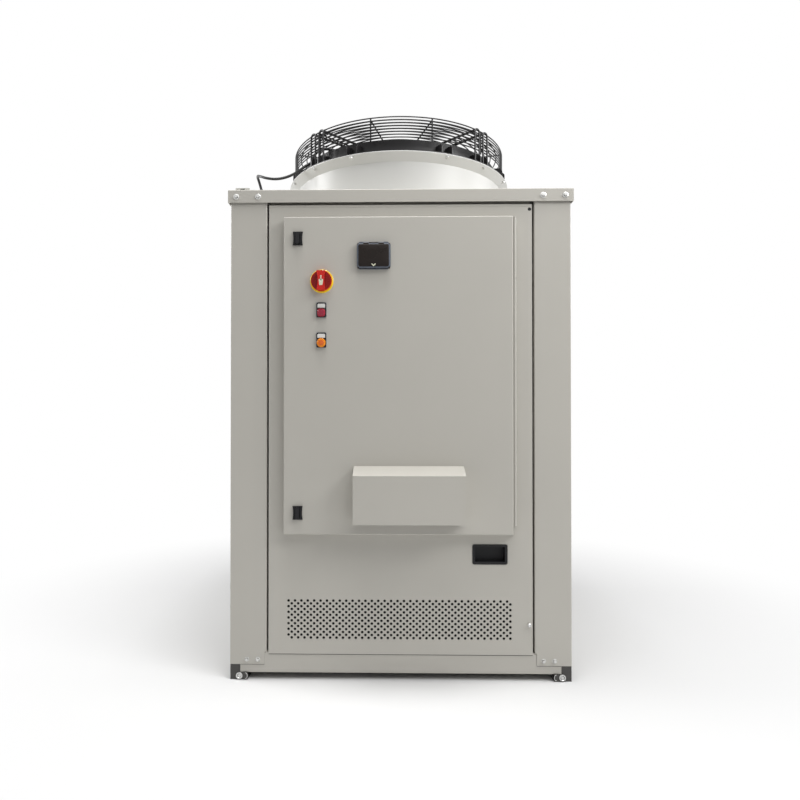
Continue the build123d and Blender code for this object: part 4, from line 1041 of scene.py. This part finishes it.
# %% [markdown]
# ## Water connections
#
# The two stubs end in an outside thread. A true helix could be swept, but a zigzag
# profile turned around the stub is close enough at this size and closes by itself.

# %% Threads
THREAD_PITCH = 0.0023
THREAD_TURNS = 8
THREAD_START = 0.531
THREAD_ROOT = 0.0211
THREAD_CREST = 0.0221
STUBS_X = (-0.250, -0.130)
STUB_Z = 0.180
profile = []
for number in range(THREAD_TURNS):
    start = THREAD_START + number * THREAD_PITCH
    profile += [(THREAD_ROOT, start), (THREAD_CREST, start + THREAD_PITCH / 2)]
profile.append((THREAD_ROOT, THREAD_START + THREAD_TURNS * THREAD_PITCH))
threads = bmesh.new()
for x in STUBS_X:
    turned(threads, (x, 0.0, STUB_Z), (0, 1, 0), profile, 40)
place_piece("stub_threads", threads, union_brass, smooth=30.0)

# %% [markdown]
# ## Devices on the rails
#
# Behind the door, breakers, contactors and terminals sit on three rails. They are stock
# devices. Each could be modelled to the last screw, but they are seen only with the door
# open, so each kind is one loop of blocks that step forward from its rail.

# %% Breakers, contactors and terminals
RAIL_FACE = -0.361
BREAKERS = (14, -0.262, 0.0180)  # the count, the first place along X and the pitch
CONTACTORS = (5, -0.250, 0.056)
TERMINALS = (44, -0.270, 0.0062)
# Each block is its two ends from the device's start, its two distances in front of the
# rail, and its two heights.
BREAKER_BODY = (0.0, 0.0174, 0.0, 0.044, 1.135, 1.218)
BREAKER_NOSE = (0.0, 0.0174, 0.044, 0.062, 1.154, 1.199)
BREAKER_LEVER = (0.005, 0.0124, 0.062, 0.071, 1.172, 1.186)
CONTACTOR_BODY = (0.0, 0.045, 0.0, 0.050, 0.850, 0.933)
CONTACTOR_NOSE = (0.004, 0.041, 0.050, 0.078, 0.866, 0.917)
TERMINAL = (0.0, 0.0057, 0.0, 0.040, 0.582, 0.631)
POLE_PROFILE = ((0.0042, 0.0), (0.0042, 0.002), (0.0, 0.0022))
POLE_FIRST = 0.010
POLE_PITCH = 0.0125
POLE_FACE = RAIL_FACE - 0.050
POLE_Z = 0.926


def on_rail(mesh, x, start, end, near, far, low, high):
    """Adds one block of a device that starts at x."""
    block(mesh, (x + start, RAIL_FACE - far, low), (x + end, RAIL_FACE - near, high))


def places(row):
    """Where the devices of one row start along X."""
    count, first, pitch = row
    return [first + number * pitch for number in range(count)]


device_grey = coated(
    "device_grey", from_screen(196, 197, 198), 0.5, tone=0.03, grain=2500.0, relief=0.15)
duct_grey = coated("duct_grey", from_screen(150, 152, 154), 0.55, tone=0.04, grain=2500.0, relief=0.15)
breakers = bmesh.new()
levers = bmesh.new()
for x in places(BREAKERS):
    on_rail(breakers, x, *BREAKER_BODY)
    on_rail(breakers, x, *BREAKER_NOSE)
    on_rail(levers, x, *BREAKER_LEVER)
contactors = bmesh.new()
for x in places(CONTACTORS):
    on_rail(contactors, x, *CONTACTOR_BODY)
    on_rail(contactors, x, *CONTACTOR_NOSE)
    for pole in range(3):
        pole_place = (x + POLE_FIRST + pole * POLE_PITCH, POLE_FACE, POLE_Z)
        turned(contactors, pole_place, (0, -1, 0), POLE_PROFILE, 12)
terminals = bmesh.new()
for x in places(TERMINALS):
    on_rail(terminals, x, *TERMINAL)
place_piece("breakers", breakers, device_grey, smooth=20.0)
place_piece("breaker_levers", levers, black_moulding, smooth=20.0)
place_piece("contactors", contactors, black_moulding, smooth=20.0)
place_piece("terminals", terminals, duct_grey, smooth=20.0)

# %% [markdown]
# ## Wire ducts
#
# Slotted ducts lead the wires between the rails. Their combs could be cut from a box
# with a boolean, but laying the fingers between a back and a cover is quicker and clean.

# %% Wire ducts
DUCTS_Z = (0.480, 0.700, 0.985, 1.262)
DUCT_LEFT = -0.285
DUCT_RIGHT = 0.260
DUCT_HIGH = 0.040
COVER_INSET = 0.001
DUCT_BACK = (-0.358, -0.354)
DUCT_COVER = (-0.411, -0.409)
FINGER_COUNT = 54
FINGER_FIRST_X = -0.284
FINGER_PITCH = 0.0101
FINGER_WIDE = 0.0062
FINGER_THICK = 0.002
ducts = bmesh.new()
for z in DUCTS_Z:
    block(ducts, (DUCT_LEFT, DUCT_BACK[0], z), (DUCT_RIGHT, DUCT_BACK[1], z + DUCT_HIGH))
    block(ducts, (DUCT_LEFT, DUCT_COVER[0], z + COVER_INSET),
          (DUCT_RIGHT, DUCT_COVER[1], z + DUCT_HIGH - COVER_INSET))
    for number in range(FINGER_COUNT):
        x = FINGER_FIRST_X + number * FINGER_PITCH
        for edge in (z, z + DUCT_HIGH - FINGER_THICK):
            block(ducts, (x, DUCT_COVER[1], edge), (x + FINGER_WIDE, DUCT_BACK[0], edge + FINGER_THICK))
place_piece("wire_ducts", ducts, duct_grey, smooth=20.0)

# %% [markdown]
# ## Behind the door
#
# The switch and the pilot lights carry black contact blocks on the door's inner side,
# with short stubs of wire towards the hinge. The wires could run on to the rails, but
# rigid wires would tear when the door swings, so they end flat on the door.

# %% Contact blocks
DOOR_BACK = -0.5285
BLOCK_STEPS = ((1.0, 0.0, 0.6), (0.8, 0.6, 1.0))  # the share of the size, and of the reach from and to
LEAD_OFFSETS = (-0.006, 0.006)
LEAD_START = 0.7  # the share of half the width
LEAD_LEVEL = 0.5  # the share of the reach
LEAD_OUT = 0.020
LEAD_BEND = 0.034
LEAD_LIFT = 0.006
LEAD_RADIUS = 0.0014
LEAD_END_X = 0.180
LEAD_END_LIFT = 0.004
LEAD_END_SHARE = 0.6  # how much closer the two wires lie there
CONTACT_BLOCKS = (  # height, half the width, half the height and the reach behind the door
    (SWITCH_Z, 0.022, 0.024, 0.052),
    (RED_LENS_Z, 0.015, 0.020, 0.040),
    (ORANGE_LENS_Z, 0.015, 0.020, 0.040),
)
contacts = bmesh.new()
for z, wide, high, reach in CONTACT_BLOCKS:
    for size, near, far in BLOCK_STEPS:
        block(contacts, (SWITCH_X - wide * size, DOOR_BACK + reach * near, z - high * size),
              (SWITCH_X + wide * size, DOOR_BACK + reach * far, z + high * size))
    level = DOOR_BACK + reach * LEAD_LEVEL
    for offset in LEAD_OFFSETS:
        wire(contacts, [
            (SWITCH_X + wide * LEAD_START, level, z + offset),
            (SWITCH_X + wide + LEAD_OUT, level, z + offset),
            (SWITCH_X + wide + LEAD_BEND, DOOR_BACK + LEAD_LIFT, z + offset),
            (LEAD_END_X, DOOR_BACK + LEAD_END_LIFT, z + offset * LEAD_END_SHARE)], LEAD_RADIUS)
place_piece("contact_blocks", contacts, black_moulding, body="control_door", smooth=30.0)

# %% [markdown]
# ## The plate on the roof
#
# The small plate at the roof's corner has an upright lip along its front edge, slotted
# for a lashing strap. The lip is what shows over the roof's edge. The slot could be cut
# with a boolean, but four blocks around it leave clean faces, and a dark block in the slot paints the
# shade there.

# %% Roof plate lip
plate_low, plate_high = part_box("roof_plate")
LIP_TOP = plate_high.z + 0.0066
LIP_THICK = 0.0015
SLOT_HALF = 0.0065
SLOT_LOW = LIP_TOP - 0.0046
SLOT_HIGH = LIP_TOP - 0.0020
SLOT_SHADE_FACES = (plate_low.y + 0.0008, plate_low.y + 0.0014)
lip_middle = (plate_low.x + plate_high.x) / 2
slot_left, slot_right = lip_middle - SLOT_HALF, lip_middle + SLOT_HALF
plate_lip = bmesh.new()
for left, right, low, high in (
    (plate_low.x, slot_left, plate_high.z, LIP_TOP), (slot_right, plate_high.x, plate_high.z, LIP_TOP),
    (slot_left, slot_right, plate_high.z, SLOT_LOW), (slot_left, slot_right, SLOT_HIGH, LIP_TOP),
):
    block(plate_lip, (left, plate_low.y, low), (right, plate_low.y + LIP_THICK, high))
place_piece("roof_plate_lip", plate_lip, pale_roof_plate, smooth=20.0)
# A dark block in the slot as painted shade.
slot_shade = bmesh.new()
block(slot_shade, (slot_left, SLOT_SHADE_FACES[0], SLOT_LOW), (slot_right, SLOT_SHADE_FACES[1], SLOT_HIGH))
place_piece("roof_plate_slot_shade", slot_shade, rubber_and_shade_black, smooth=20.0)

# %% [markdown]
# ## The motor
#
# The outer-rotor motor sheds its heat through short ribs around its can, and eight
# screws hold the plate above it. A wave in the can's outline could stand for the ribs,
# but they are thin sheets with gaps between them, so each is a block of its own.

# %% Motor ribs and hub screws
MOTOR_RIBS = 36
MOTOR_RIB = ((0.0870, -0.0012, 1.656), (0.0945, 0.0012, 1.706))
HUB_SCREWS = 8
HUB_SCREW_RADIUS = 0.052
HUB_SCREW_Z = 1.7102
motor_ribs = bmesh.new()
for number in range(MOTOR_RIBS):
    block(motor_ribs, *MOTOR_RIB, Matrix.Rotation(2 * pi * number / MOTOR_RIBS, 4, "Z"))
place_piece("motor_ribs", motor_ribs, semi_gloss_black, smooth=20.0)
hub_screws = bmesh.new()
for x, y in circle(HUB_SCREW_RADIUS, HUB_SCREWS, start=0.5):
    flanged_screw(hub_screws, (x, y, HUB_SCREW_Z), (0, 0, 1), flange=0.008)
place_piece("hub_screws", hub_screws, bright_screw_zinc)

# %% [markdown]
# ## The white background
#
# The photograph's background is plain white. More light could make the room white, but
# it would bleach the paint. Instead the world looks white to the camera and in
# reflections only, and the light that it gives to the object stays low.

# %% World
WORLD_LEVEL = 0.13
WHITE = (1.0, 1.0, 1.0, 1.0)


def math_node(tree, operation, first, second):
    """Adds a node that works on two values, and gives back its result."""
    made = tree.nodes.new("ShaderNodeMath")
    made.operation = operation
    tree.links.new(first, made.inputs[0])
    tree.links.new(second, made.inputs[1])
    return made.outputs[0]


def white_for_camera(tree, output, plain, white_kind, share=None):
    """Shows white to the camera and to reflections, and the plain shader to all other rays."""
    path = tree.nodes.new("ShaderNodeLightPath")
    seen = math_node(tree, "MAXIMUM", path.outputs["Is Camera Ray"], path.outputs["Is Transmission Ray"])
    shown = math_node(tree, "MAXIMUM", seen, path.outputs["Is Glossy Ray"])
    if share is not None:
        shown = math_node(tree, "MULTIPLY", shown, share)
    white = tree.nodes.new(white_kind)
    white.inputs["Color"].default_value = WHITE
    white.inputs["Strength"].default_value = 1.0
    mix = tree.nodes.new("ShaderNodeMixShader")
    tree.links.new(shown, mix.inputs["Fac"])
    tree.links.new(plain.outputs[0], mix.inputs[1])
    tree.links.new(white.outputs[0], mix.inputs[2])
    tree.links.new(mix.outputs[0], output.inputs["Surface"])


world = bpy.data.worlds.new("studio")
bpy.context.scene.world = world
world.use_nodes = True
sky = world.node_tree.nodes["Background"]
sky.inputs["Color"].default_value = WHITE
sky.inputs["Strength"].default_value = WORLD_LEVEL
white_for_camera(world.node_tree, world.node_tree.nodes["World Output"], sky, "ShaderNodeBackground")
print("world level", WORLD_LEVEL)

# %% [markdown]
# ## The lamps
#
# The light in the photograph is soft and comes from high at the front and both sides.
# One large lamp would be simpler, but then the cowl and the hood would lose their shape.
# Six square lamps are set so that each face renders near the tone that it has in paint.

# %% Lamps
LAMPS = (  # name, place, the point that it looks at, size and power in watts
    ("lamp_right", (2.6, -2.0, 2.8), (0.0, -0.4, 1.0), 1.4, 54.0),
    ("lamp_side_right", (3.2, 0.0, 2.4), (0.0, 0.0, 1.2), 1.4, 27.0),
    ("lamp_side_left", (-3.2, 0.0, 2.4), (0.0, 0.0, 1.2), 1.4, 76.0),
    ("lamp_front_top", (0.1, -1.3, 4.3), (0.0, -0.5, 0.8), 2.0, 50.0),
    ("lamp_over", (0.0, -0.95, 6.0), (0.0, -0.6, 0.8), 1.8, 125.0),
    ("lamp_fill", (1.5, -3.1, 3.7), (0.0, -0.5, 0.8), 1.6, 23.0),
)
for name, place, target, size, power in LAMPS:
    lamp_data = bpy.data.lights.new(name, "AREA")
    lamp_data.shape = "SQUARE"
    lamp_data.size = size
    lamp_data.energy = power
    lamp = bpy.data.objects.new(name, lamp_data)
    lamp.location = place
    lamp.rotation_euler = (Vector(place) - Vector(target)).to_track_quat("Z", "Y").to_euler()
    bpy.context.collection.objects.link(lamp)
    print(name, power, "W")

# %% [markdown]
# ## The floor
#
# The floor is pale and keeps the object's shadow. It could be white to the camera as the
# world is, but then the object would seem to float. So it is plain near the object and
# fades to white farther out.

# %% Floor
FLOOR_HALF = 8.0
FLOOR_TONE = 0.72
FLOOR_ROUGHNESS = 0.8
FADE_FROM = 0.7
FADE_TO = 2.0
floor_mesh = bmesh.new()
bmesh.ops.create_grid(floor_mesh, x_segments=1, y_segments=1, size=FLOOR_HALF)
floor_data = bpy.data.meshes.new("studio_floor")
floor_mesh.to_mesh(floor_data)
floor_mesh.free()
studio_floor = bpy.data.objects.new("studio_floor", floor_data)
bpy.context.collection.objects.link(studio_floor)
floor_white = bpy.data.materials.new("floor_white")
floor_white.use_nodes = True
floor_tree = floor_white.node_tree
floor_shader = floor_tree.nodes["Principled BSDF"]
floor_shader.inputs["Base Color"].default_value = (FLOOR_TONE, FLOOR_TONE, FLOOR_TONE, 1.0)
floor_shader.inputs["Roughness"].default_value = FLOOR_ROUGHNESS
floor_data.materials.append(floor_white)
floor_place = floor_tree.nodes.new("ShaderNodeTexCoord")
away = floor_tree.nodes.new("ShaderNodeVectorMath")
away.operation = "LENGTH"
floor_tree.links.new(floor_place.outputs["Object"], away.inputs[0])
fade = floor_tree.nodes.new("ShaderNodeMapRange")
fade.interpolation_type = "SMOOTHSTEP"
fade.inputs["From Min"].default_value = FADE_FROM
fade.inputs["From Max"].default_value = FADE_TO
floor_tree.links.new(away.outputs["Value"], fade.inputs["Value"])
white_for_camera(
    floor_tree, floor_tree.nodes["Material Output"], floor_shader, "ShaderNodeEmission",
    share=fade.outputs["Result"])
print("floor fades between", FADE_FROM, "and", FADE_TO)

# %% Finish
bpy.context.scene.view_settings.view_transform = "Standard"
